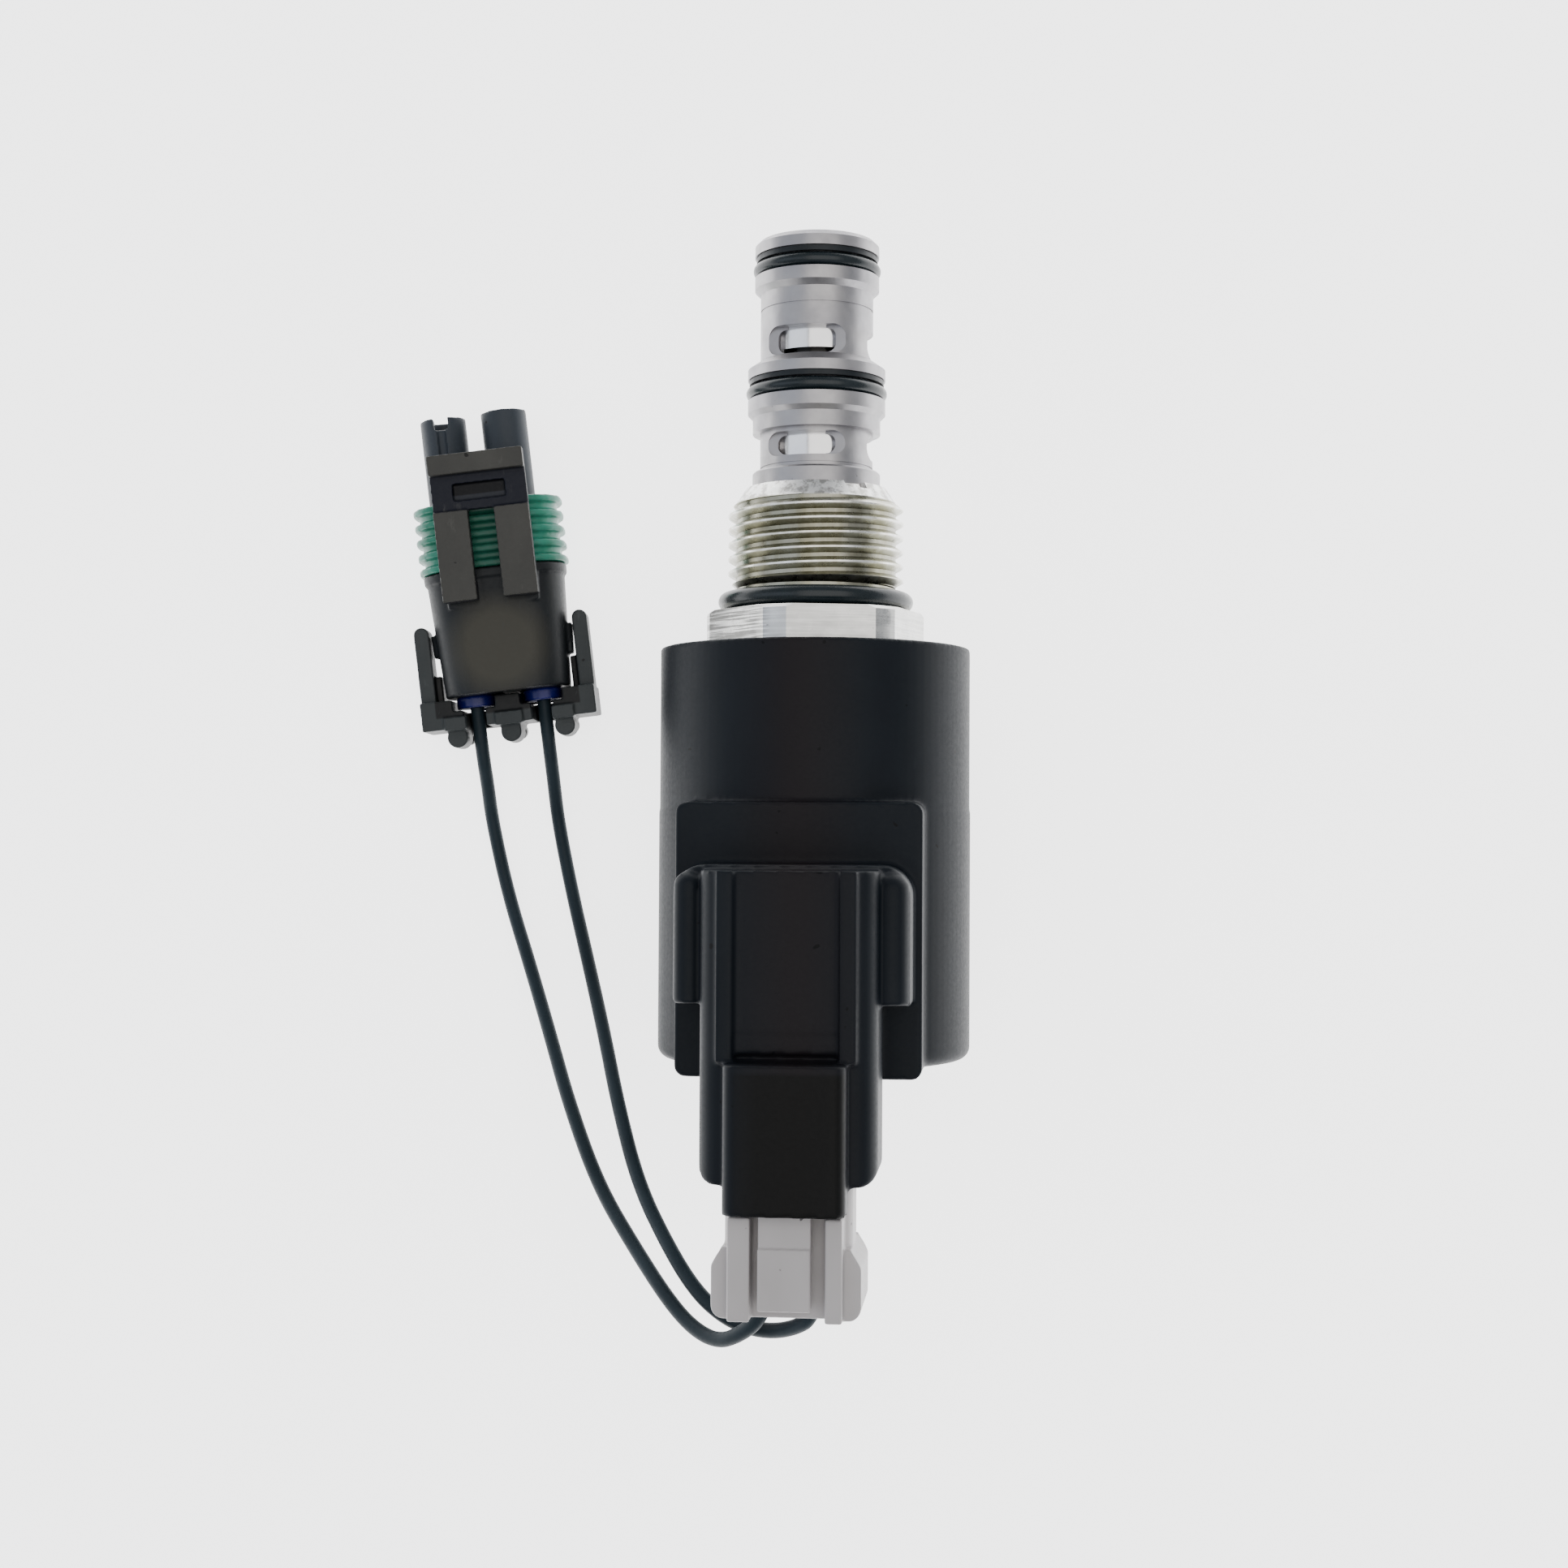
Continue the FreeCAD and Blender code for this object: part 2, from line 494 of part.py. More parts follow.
def make_adapter():
    blank = turned("adapter_blank", [
        ("tube_socket_radius", "-hex_thickness"),
        ("hex_corner_radius-hex_chamfer", "-hex_thickness"),
        ("hex_corner_radius", "hex_chamfer-hex_thickness"), ("hex_corner_radius", "-hex_chamfer"),
        ("hex_corner_radius-hex_chamfer", "0"), ("relief_radius", "0"),
        ("relief_radius", "relief_end"), ("thread_radius", "thread_start"),
        ("thread_radius", "thread_taper_start"), ("thread_nose_radius", "thread_end"),
        ("lip_root_radius", "lip_start"), ("lip_end_radius", "lip_end"),
        ("lip_bore_radius", "lip_end"), ("lip_bore_radius", "web_top"), ("web_radius", "web_top"),
        ("web_radius", "tube_socket_end"), ("tube_socket_radius", "tube_socket_end"),
    ])
    around = doc.addObject("Part::Cylinder", "hex_surround")
    around.Radius = number("hex_corner_radius+overrun")
    around.Height = number("hex_thickness+overrun")
    around.Placement = Placement(
        Vector(0, number("-hex_thickness-overrun"), 0), Rotation(ALONG_X, -90))
    flats = hexagon("hex_flats_solid", "hex_flats", "-hex_thickness-hex_thickness",
                    "hex_thickness", number("hex_clocking"))
    doc.recompute()
    trimmed = cut("hex_blank", blank, [cut("hex_waste", around, [flats])])
    threaded = cut("threaded_blank", trimmed, [thread_cutter()])
    turns = number("thread_end-relief_end") / number("thread_pitch")
    removed = (trimmed.Shape.Volume - threaded.Shape.Volume) / (turns * TWO_PI
                                                                * number("thread_radius"))
    if not 0.7 * groove_area() < removed < groove_area():
        raise RuntimeError("the thread was not cut: %.3f per turn" % removed)
    nicks = []
    for index, (angle, width, depth) in enumerate(((38, 1.1, 0.8), (29, 2.2, 0.35))):
        nick = doc.addObject("Part::Box", "lip_nick_%d" % index)
        nick.Length = width
        nick.Width = depth + number("overrun")
        nick.Height = number("lip_root_radius") - number("cage_flange_radius")
        turn = Rotation(ALONG_Y, angle)
        corner = Vector(-width / 2, number("lip_end") - depth, number("lip_bore_radius") - 0.3)
        nick.Placement = Placement(turn.multVec(corner), turn)
        nicks.append(nick)
    keep("adapter", cut("adapter", threaded, nicks))


def make_seals():
    keep("thread_seal", ring("thread_seal", "thread_seal_radius", "thread_seal_section",
                             "thread_seal_along"))
    keep("nose_o_ring", ring("nose_o_ring", "nose_seal_radius", "nose_seal_section",
                             "nose_seal_along"))
    keep("mid_o_ring", ring("mid_o_ring", "mid_seal_radius", "mid_seal_section",
                            "mid_seal_along"))
    for which in ("nose", "mid"):
        inner, outer = which + "_backup_inner", which + "_backup_outer"
        start, end = which + "_backup_start", which + "_backup_end"
        keep(which + "_backup_ring", turned(which + "_backup_ring", [
            (inner, start), (outer, start), (outer, end), (inner, end)]))


# ---- spool, stem, armature, tube, pole, spring and nut ---------------------------------------

def make_spool():
    outline = [("0", "spool_foot"), ("spool_radius", "spool_foot")]
    outline += groove_points("spool_radius", "balance_low", "balance_depth", "balance_width")
    outline += [("spool_radius", "spool_neck_start"), ("spool_neck_radius", "spool_neck_start"),
                ("spool_neck_radius", "spool_neck_end"), ("spool_radius", "spool_neck_end")]
    outline += groove_points("spool_radius", "balance_first", "balance_depth", "balance_width")
    outline += groove_points("spool_radius", "balance_second", "balance_depth", "balance_width")
    outline += [("spool_radius", "spool_head"), ("spool_hollow_radius", "spool_head"),
                ("spool_hollow_radius", "spool_hollow_start"), ("0", "spool_hollow_start")]
    blank = turned("spool_blank", outline)
    neck_slot = block("spool_neck_slot", ("-slot_reach", "web_top", "-slot_half_neck"),
                      ("slot_reach", "slot_head_end", "slot_half_neck"))
    head_slot = block("spool_head_slot", ("-slot_reach", "slot_neck_end", "-slot_half_head"),
                      ("slot_reach", "slot_head_end", "slot_half_head"))
    drills = []
    for index, axis in enumerate((ALONG_X, ALONG_Z)):
        drill = doc.addObject("Part::Cylinder", "spool_cross_hole_%d" % index)
        bind(drill, "Radius", "spool_cross_radius")
        bind(drill, "Height", "slot_reach+slot_reach")
        middle = ALONG_Y * number("spool_cross_along") - axis * number("slot_reach")
        drill.Placement = Placement(middle, Rotation(ALONG_Z, axis))
        drills.append(drill)
    keep("spool", cut("spool", blank, [neck_slot, head_slot] + drills))


def make_moving_core():
    keep("stem", turned("stem", [
        ("0", "stem_start"), ("stem_radius", "stem_start"), ("stem_radius", "stem_head_start"),
        ("stem_head_radius", "stem_head_start"), ("stem_head_radius", "stem_head_end"),
        ("0", "stem_head_end")]))
    keep("armature", turned("armature", [
        ("spring_pocket_radius", "armature_low"), ("armature_radius", "armature_low"),
        ("armature_radius", "armature_high"), ("stem_hole_radius", "armature_high"),
        ("stem_hole_radius", "stem_start"), ("relief_hole_radius", "stem_start"),
        ("relief_hole_radius", "armature_pocket_end"),
        ("spring_pocket_radius", "armature_pocket_end")]))


def make_tube_and_pole():
    keep("guide_tube", turned("guide_tube", [
        ("tube_inner", "tube_start"), ("tube_outer", "tube_start"), ("tube_outer", "tube_end"),
        ("tube_inner", "tube_end")]))
    keep("pole_piece", turned("pole_piece", [
        ("0", "pole_pocket_end"), ("spring_pocket_radius", "pole_pocket_end"),
        ("spring_pocket_radius", "pole_face"), ("pole_radius", "pole_face"),
        ("pole_radius", "tube_start"), ("stud_radius", "tube_start"),
        ("stud_radius", "stud_end+stud_chamfer"), ("stud_radius-stud_chamfer", "stud_end"),
        ("0", "stud_end")]))


def make_spring():
    """A helix of round wire along Y between the fixed pole and the armature."""
    radius = number("spring_radius")
    wire_radius = number("spring_wire")
    height = number("spring_end") - number("spring_start")
    helix = Part.makeHelix(number("spring_pitch"), height, radius)
    section = Part.Wire(Part.makeCircle(wire_radius, Vector(radius, 0, 0), ALONG_Y))
    coil = Part.Wire(helix.Edges).makePipeShell([section], True, True)
    coil.rotate(Vector(0, 0, 0), ALONG_X, -90)
    coil.translate(Vector(0, number("spring_start"), 0))
    feature = doc.addObject("Part::Feature", "return_spring")
    feature.Shape = coil
    keep("return_spring", feature)


def make_nut():
    prism = hexagon("nut_prism", "nut_flats", "nut_start", "nut_end", 0.0)
    round_bar = rod("nut_round", "nut_corner_radius", "nut_start", "nut_end")
    head = shared("nut_head", prism, round_bar)
    flange = rod("nut_flange", "nut_flange_radius", "nut_flange_start", "nut_end")
    bore = rod("nut_thread_bore", "nut_bore", "stud_end", "nut_end+overrun")
    keep("coil_nut", cut("coil_nut", joined("nut_blank", [head, flange]), [bore]))


# ---- coil ------------------------------------------------------------------------------------

def make_coil_insides():
    washers = []
    for which, start, end in (
        ("top", "coil_cavity_end-washer_thickness", "coil_cavity_end"),
        ("low", "coil_cavity_start", "coil_cavity_start+washer_thickness"),
    ):
        washers.append(turned("flux_washer_" + which, [
            ("coil_bore", start), ("washer_radius", start), ("washer_radius", end),
            ("coil_bore", end)]))
    keep("flux_washers", group("flux_washers", washers), COIL_PLACE)
    low = "coil_cavity_start+washer_thickness+part_gap"
    high = "coil_cavity_end-washer_thickness-part_gap"
    keep("flux_can", turned("flux_can", [
        ("can_inner", low), ("washer_radius", low), ("washer_radius", high),
        ("can_inner", high)]), COIL_PLACE)
    keep("bobbin", turned("bobbin", [
        ("coil_bore", low), ("bobbin_flange_radius", low),
        ("bobbin_flange_radius", low + "+bobbin_flange"), ("bobbin_barrel", low + "+bobbin_flange"),
        ("bobbin_barrel", high + "-bobbin_flange"),
        ("bobbin_flange_radius", high + "-bobbin_flange"), ("bobbin_flange_radius", high),
        ("coil_bore", high)]), COIL_PLACE)
    inner = "bobbin_barrel+part_gap"
    wound_low = low + "+bobbin_flange+part_gap"
    wound_high = high + "-bobbin_flange-part_gap"
    keep("coil_winding", turned("coil_winding", [
        (inner, wound_low), ("winding_radius", wound_low), ("winding_radius", wound_high),
        (inner, wound_high)]), COIL_PLACE)
    seals = [ring("coil_seal_" + which, "coil_seal_radius", "coil_seal_section",
                  "coil_seal_" + which) for which in ("top", "low")]
    keep("coil_seals", group("coil_seals", seals), COIL_PLACE)


def coil_barrel():
    """The moulded barrel, with the small step at its parting line and a rounded end."""
    barrel = turned("coil_barrel", [
        ("0", "coil_end"), ("coil_radius_low", "coil_end"), ("coil_radius_low", "coil_parting"),
        ("coil_radius_top", "coil_parting"), ("coil_radius_top", "coil_top"), ("0", "coil_top")])
    end = number("coil_end")
    rim = next(index for index, edge in enumerate(barrel.Shape.Edges, start=1)
               if isinstance(edge.Curve, Part.Circle) and abs(edge.Curve.Center.y - end) < 0.01)
    rounding = doc.addObject("Part::Fillet", "coil_barrel_rounded")
    rounding.Base = barrel
    size = number("coil_end_round")
    rounding.Edges = [(rim, size, size)]
    doc.recompute()
    return rounding


def make_coil_housing():
    pad = block("pad_blank", ("-pad_half_width", "pad_low", "pad_foot"),
                ("pad_half_width", "pad_high", "pad_face"))
    pad = rounded("pad", pad, "pad_corner", ALONG_Z)
    ears = block("ears_blank", ("-ear_half_width", "ear_low", "pad_foot"),
                 ("ear_half_width", "ear_high", "ear_top"))
    ears = rounded("ears", ears, "ear_corner", ALONG_Z,
                   lambda point: point.y > number("ear_low") + 1)
    body = block("receptacle_blank", ("-block_half_width", "block_low", "block_foot"),
                 ("block_half_width", "block_high", "block_top"))
    body = rounded("receptacle_sides", body, "block_round", ALONG_Y)
    ends = block("receptacle_ends_blank", ("-block_half_width", "block_low", "block_foot"),
                 ("block_half_width", "block_high", "block_top"))
    ends = rounded("receptacle_ends", ends, "block_end_round", ALONG_Z,
                   lambda point: point.y < number("box_low+pad_half_width"))
    body = shared("receptacle", body, ends)
    rails = [block("rail_left", ("-rail_outer", "box_high", "rail_foot"),
                   ("-rail_inner", "block_high", "rail_top")),
             block("rail_right", ("rail_inner", "box_high", "rail_foot"),
                   ("rail_outer", "block_high", "rail_top"))]
    latch_box = block("latch_box_blank", ("-box_half_width", "box_low", "box_foot"),
                      ("box_half_width", "box_high", "box_top"))
    latch_box = rounded("latch_box", latch_box, "box_round", ALONG_Y,
                        lambda point: point.z > number("box_foot+overrun"))
    solid = joined("coil_solid", [coil_barrel(), pad, ears, body, latch_box] + rails)

    cavity = rod("coil_cavity", "coil_cavity_radius", "coil_cavity_start", "coil_cavity_end")
    mouth_top = rod("coil_mouth", "coil_mouth_radius", "coil_end-overrun", "coil_top+overrun")
    mouth = block("receptacle_mouth_blank",
                  ("-mouth_half_width", "box_low-overrun", "connector_height-mouth_half_height"),
                  ("mouth_half_width", "mouth_floor", "connector_height+mouth_half_height"))
    mouth = rounded("receptacle_mouth", mouth, "mouth_round", ALONG_Y)
    latch_room = block("latch_room",
                       ("-latch_room_half", "box_low-overrun", "connector_height"),
                       ("latch_room_half", "latch_room_end", "latch_room_top"))
    panel = block("panel_pocket",
                  ("-panel_pocket_half", "panel_pocket_low", "panel_pocket_floor"),
                  ("panel_pocket_half", "panel_pocket_high", "box_top"))
    recesses = [
        block("ear_recess_left", ("-ear_recess_outer", "ear_low-overrun", "ear_recess_floor"),
              ("-ear_recess_inner", "ear_recess_high", "box_top")),
        block("ear_recess_right", ("ear_recess_inner", "ear_low-overrun", "ear_recess_floor"),
              ("ear_recess_outer", "ear_recess_high", "box_top")),
    ]
    pin_holes = [rod("pin_hole_" + side, "pin_radius+part_gap", "mouth_floor-part_gap", "pin_root",
                     sign + "pin_spacing_half", "connector_height")
                 for side, sign in (("left", "-"), ("right", ""))]
    voids = [cavity, mouth_top, mouth, latch_room, panel] + recesses + pin_holes
    keep("coil_housing", cut("coil_housing", solid, voids), COIL_PLACE)
    pins = [rod("terminal_pin_" + side, "pin_radius", "pin_end", "pin_root",
                sign + "pin_spacing_half", "connector_height")
            for side, sign in (("left", "-"), ("right", ""))]
    keep("terminal_pins", group("terminal_pins", pins), COIL_PLACE)


# ---- plug ------------------------------------------------------------------------------------

def make_plug():
    low, high = "connector_height-plug_half_height", "connector_height+plug_half_height"
    body = block("plug_blank", ("-plug_half_width", "plug_rear", low),
                 ("plug_half_width", "plug_nose", high))
    body = rounded("plug_body", body, "plug_round", ALONG_Y)
    hood = block("plug_hood_blank",
                 ("-plug_hood_half", "plug_rear", "connector_height-plug_hood_half_height"),
                 ("plug_hood_half", "plug_hood_front", "connector_height+plug_hood_half_height"))
    hood = rounded("plug_hood", hood, "plug_hood_round", ALONG_Z)
    rails = [
        block("plug_rail_left_block", ("-plug_rail_outer", "plug_rear", "connector_height"),
              ("-plug_rail_left", "plug_rail_front", "plug_rail_top")),
        block("plug_rail_right_block", ("plug_rail_right", "plug_rear", "connector_height"),
              ("plug_rail_outer", "plug_rail_front", "plug_rail_top")),
    ]
    solid = joined("plug_solid", [body, hood] + rails)
    trough = block("plug_trough", ("-plug_rail_left", "plug_rear-overrun", high),
                   ("plug_rail_right", "plug_hood_front+overrun", "box_top"))
    bores = [rod("plug_bore_" + side, "plug_bore", "plug_rear", "plug_nose+overrun",
                 sign + "pin_spacing_half", "connector_height")
             for side, sign in (("left", "-"), ("right", ""))]
    room = block("plug_seal_room",
                 ("-seal_room_half", "plug_rear-overrun",
                  "connector_height-seal_room_half_height"),
                 ("seal_room_half", "seal_room_front", "connector_height+seal_room_half_height"))
    keep("plug_housing", cut("plug_housing", solid, [trough, room] + bores), COIL_PLACE)

    stopper = block("plug_wire_seal_blank",
                    ("part_gap-seal_room_half", "wire_seal_rear",
                     "connector_height-seal_room_half_height+part_gap"),
                    ("seal_room_half-part_gap", "wire_seal_front",
                     "connector_height+seal_room_half_height-part_gap"))
    holes = [rod("plug_wire_seal_hole_" + side, "plug_bore", "wire_seal_rear-overrun",
                 "wire_seal_front+overrun", sign + "pin_spacing_half", "connector_height")
             for side, sign in (("left", "-"), ("right", ""))]
    keep("plug_wire_seal", cut("plug_wire_seal", stopper, holes), COIL_PLACE)

    contacts = []
    for side, sign in (("left", "-"), ("right", "")):
        across = sign + "pin_spacing_half"
        shank = rod("contact_shank_" + side, "contact_radius", "wire_seal_rear", "contact_front",
                    across, "connector_height")
        hollow = rod("contact_hollow_" + side, "contact_hollow", "contact_hollow_end",
                     "contact_front+overrun", across, "connector_height")
        contacts.append(cut("plug_contact_" + side, shank, [hollow]))
    keep("plug_contacts", group("plug_contacts", contacts), COIL_PLACE)

    def plate(name, rear, front, inset):
        blank = block(name + "_blank",
                      (inset + "-plug_half_width", rear,
                       "connector_height-plug_half_height+" + inset),
                      ("plug_half_width-" + inset, front,
                       "connector_height+plug_half_height-" + inset))
        rounded_plate = rounded(name + "_plate", blank, "pad_corner", ALONG_Y)
        ways = [rod(name + "_way_" + side, "plug_bore", rear + "-overrun",
                    front + "+overrun", sign + "pin_spacing_half", "connector_height")
                for side, sign in (("left", "-"), ("right", ""))]
        return cut(name, rounded_plate, ways)

    keep("plug_face_seal", plate("plug_face_seal", "face_seal_front",
                                 "face_seal_end", "face_seal_inset"), COIL_PLACE)
    keep("plug_wedge_lock", plate("plug_wedge_lock", "face_seal_end+part_gap",
                                  "wedge_front", "wedge_inset"), COIL_PLACE)

    lever = block("lever_blade", ("-lever_half_width", "lever_rear", "lever_low"),
                  ("lever_half_width", "lever_front", "lever_top"))
    thumb = block("lever_thumb", ("-lever_half_width", "lever_rear", "lever_low"),
                  ("lever_half_width", "lever_step", "lever_thumb_top"))
    web = block("lever_web_block",
                ("-lever_half_width", "lever_pivot-fulcrum_radius", "fulcrum_height"),
                ("lever_half_width", "lever_pivot+fulcrum_radius", "lever_top"))
    fulcrum = cross_rod("lever_fulcrum", "fulcrum_radius", "-lever_half_width",
                        "lever_half_width", "lever_pivot", "fulcrum_height")
    catch = block("lever_catch_block", ("-lever_half_width", "lever_front-lever_catch",
                                        "lever_low-lever_catch"),
                  ("lever_half_width", "lever_front", "lever_top"))
    keep("plug_latch", joined("plug_latch", [lever, thumb, web, fulcrum, catch]), COIL_PLACE)


# ---- wires -----------------------------------------------------------------------------------

# Route points from the plug's rear to the tower connector's cable seals, in millimetres. The
# first and last points are worked out from the connectors that they meet.
LEFT_ROUTE = [
    (-7.6, -88.4, 25.6), (-11.6, -90.5, 23.6), (-16.2, -89.4, 21.0), (-19.7, -85.6, 17.6),
    (-22.6, -79.8, 12.9), (-26.8, -71.6, 5.5), (-31.0, -62.4, -2.5), (-34.6, -53.0, -9.5),
    (-38.2, -43.6, -15.5), (-41.3, -34.6, -18.6), (-43.2, -26.4, -18.2),
]
RIGHT_ROUTE = [
    (-1.9, -88.4, 25.9), (-5.8, -90.4, 23.2), (-10.3, -89.5, 20.2), (-14.0, -86.0, 17.0),
    (-17.0, -80.2, 12.7), (-21.2, -71.6, 5.5), (-24.6, -62.4, -1.7), (-27.1, -53.2, -8.2),
    (-29.8, -44.2, -14.0), (-32.4, -35.2, -17.8), (-34.3, -26.4, -17.8),
]
EXIT_RUN = 3.5       # straight out of the plug's wire seal
ENTRY_RUN = 6.0      # straight into the tower connector's cable seal
ARC_SHARE = 0.45     # share of the shorter run that an arc's tangent takes


def route_wire(points):
    """Straight runs joined by tangent arcs, with the arcs' radii."""
    edges, radii = [], []
    start = points[0]
    for before, corner, after in zip(points, points[1:], points[2:]):
        incoming, outgoing = corner - before, after - corner
        run = min(incoming.Length, outgoing.Length)
        turn = incoming.getAngle(outgoing)
        tangent = ARC_SHARE * run
        radii.append(tangent / math.tan(turn / 2))
        arc_start = corner - incoming.normalize() * tangent
        arc_end = corner + outgoing.normalize() * tangent
        toward = (arc_start + arc_end) * 0.5 - corner
        half_turn = turn / 2
        apex_gap = radii[-1] / math.cos(half_turn) - radii[-1]
        middle = corner + toward.normalize() * apex_gap
        edges.append(Part.LineSegment(start, arc_start).toShape())
        edges.append(Part.Arc(arc_start, middle, arc_end).toShape())
        start = arc_end
    edges.append(Part.LineSegment(start, points[-1]).toShape())
    return Part.Wire(edges), radii


def make_wire(node, side, middle_points):
    """One insulated wire, from the plug's wire seal to a cable seal of the tower connector."""
    sign = -1 if side == "left" else 1
    exit_point = COIL_PLACE.multVec(Vector(
        sign * number("pin_spacing_half"), number("wire_seal_rear"), number("connector_height")))
    seal = (sign * number("cable_spacing_half"), number("tower_middle"))
    entry = TOWER_PLACE.multVec(Vector(seal[0], number("cable_seal_rear"), seal[1]))
    approach = TOWER_PLACE.multVec(
        Vector(seal[0], number("cable_seal_rear") - ENTRY_RUN, seal[1]))
    points = [exit_point, exit_point - ALONG_Y * EXIT_RUN]
    points += [Vector(*place) for place in middle_points] + [approach, entry]
    path, radii = route_wire(points)
    radius = number("wire_diameter") / 2
    section = Part.Wire(Part.makeCircle(radius, exit_point, ALONG_Y))
    tube = path.makePipeShell([section], True, False)
    expected = math.pi * radius ** 2 * path.Length
    print("%s: length %.1f mm, radii %s, volume share %.4f, first %s, last %s" % (
        node, path.Length, " ".join("%.1f" % r for r in radii), tube.Volume / expected,
        [round(c, 2) for c in points[0]], [round(c, 2) for c in points[-1]]))
    print("   second %s, before last %s" % (
        [round(c, 2) for c in points[1]], [round(c, 2) for c in points[-2]]))
    if abs(tube.Volume / expected - 1) > 0.01:
        raise RuntimeError("the tube of %s is not its section times its length" % node)
    feature = doc.addObject("Part::Feature", node)
    feature.Shape = tube
    keep(node, feature)


# ---- tower connector -------------------------------------------------------------------------

SIDE_ROUNDNESS = 0.86    # the side fillets' radius as a share of a bar's half height


def stadium(name, half_width, half_height, rear, front):
    """A bar along v with flat top and bottom and round sides."""
    bar = block(name + "_blank",
                (difference("", half_width), rear, difference("tower_middle", half_height)),
                (half_width, front, "tower_middle+" + half_height))
    fillet = doc.addObject("Part::Fillet", name)
    fillet.Base = bar
    size = number(half_height) * SIDE_ROUNDNESS
    fillet.Edges = [(index, size, size) for index in edges_along(bar.Shape, ALONG_Y)]
    doc.recompute()
    return fillet


def sides():
    """The two ways of the connector, as a name and a sign."""
    return (("left", "-"), ("right", ""))


def make_tower_connector():
    shell = stadium("tower_shell", "shell_half_width", "shell_half_height", "shell_rear",
                    "shell_front")
    rim = stadium("tower_rim", "shell_half_width+catch_height", "shell_half_height+catch_height",
                  "shell_front-shell_rim_depth", "shell_front")
    core = stadium("tower_core", "core_half_width", "core_half_height", "shell_rear", "core_front")
    towers = [rod("tower_left", "tower_radius", "rib_seal_front+part_gap", "left_tower_tip",
                  "-tower_spacing_half-tower_shift", "tower_middle"),
              rod("tower_right", "tower_radius", "rib_seal_front+part_gap", "tower_tip",
                  "tower_spacing_half-tower_shift", "tower_middle")]
    catches = []
    for side, sign in sides():
        inner, outer = "shell_half_width-shell_rim", "shell_half_width+catch_height"
        low, high = (inner, outer) if not sign else ("-shell_half_width-catch_height",
                                                     "shell_rim-shell_half_width")
        catches.append(block("shell_catch_" + side, (low, "catch_rear", "lock_arm_low+shell_rim"),
                             (high, "catch_front", "lock_arm_top-shell_rim")))
    foot_blocks = [block("arm_seat_" + side, (low, "arm_rear-shell_rim", "tower_middle"),
                         (high, "arm_foot_front+shell_rim", "arm_foot-part_gap"))
                   for side, low, high in (("left", "-arm_half_width", "-arm_leg_inner"),
                                           ("right", "arm_leg_inner", "arm_half_width"))]
    solid = joined("tower_solid", [shell, rim, core] + towers + catches + foot_blocks)
    voids = []
    for side, sign in sides():
        voids.append(rod("tower_socket_" + side, "socket_radius", "shell_rear",
                         "tower_tip+overrun", sign + "tower_spacing_half-tower_shift",
                         "tower_middle"))
        voids.append(rod("tower_seal_pocket_" + side, "seal_pocket", "shell_rear-overrun",
                         "cable_seal_front", sign + "cable_spacing_half", "tower_middle"))
    left_middle = "-tower_spacing_half-tower_shift"
    voids.append(block("tower_notch", (left_middle + "-notch_half", "left_tower_tip-notch_depth",
                                       "tower_middle"),
                       (left_middle + "+notch_half", "tower_tip",
                        "tower_middle+tower_radius+overrun")))
    voids.append(block("tower_groove", (left_middle + "-tower_groove_half", "core_front+overrun",
                                        "tower_middle+tower_radius-tower_groove_depth"),
                       (left_middle + "+tower_groove_half", "tower_tip",
                        "tower_middle+tower_radius+overrun")))
    keep("tower_housing", cut("tower_housing", solid, voids), TOWER_PLACE)

    terminals = [rod("tower_terminal_" + side, "terminal_radius", "terminal_rear",
                     "terminal_front", sign + "tower_spacing_half-tower_shift",
                     "tower_middle")
                 for side, sign in sides()]
    keep("tower_terminals", group("tower_terminals", terminals), TOWER_PLACE)
    stoppers = []
    for side, sign in sides():
        plug = rod("cable_seal_plug_" + side, "cable_seal_radius", "cable_seal_rear",
                   "cable_seal_front-part_gap", sign + "cable_spacing_half", "tower_middle")
        lip = rod("cable_seal_lip_" + side, "cable_lip_radius", "cable_seal_rear",
                  "shell_rear-part_gap", sign + "cable_spacing_half", "tower_middle")
        stoppers.append(joined("cable_seal_" + side, [plug, lip]))
    keep("cable_seals", group("cable_seals", stoppers), TOWER_PLACE)


def make_tower_seal():
    """The ribbed seal round the connector's core."""
    grooved = stadium("seal_waist", "rib_half_width-rib_groove", "rib_half_height-rib_groove",
                      "rib_seal_rear", "rib_seal_front")
    ribs = []
    start = "rib_seal_rear"
    for index in range(5):
        ribs.append(stadium("seal_rib_%d" % index, "rib_half_width", "rib_half_height", start,
                            start + "+rib_width"))
        start += "+rib_pitch"
    solid = joined("seal_solid", [grooved] + ribs)
    hole = stadium("seal_hole", "core_half_width+part_gap", "core_half_height+part_gap",
                   "shell_rear", "core_front+overrun")
    keep("tower_seal", cut("tower_seal", solid, [hole]), TOWER_PLACE)


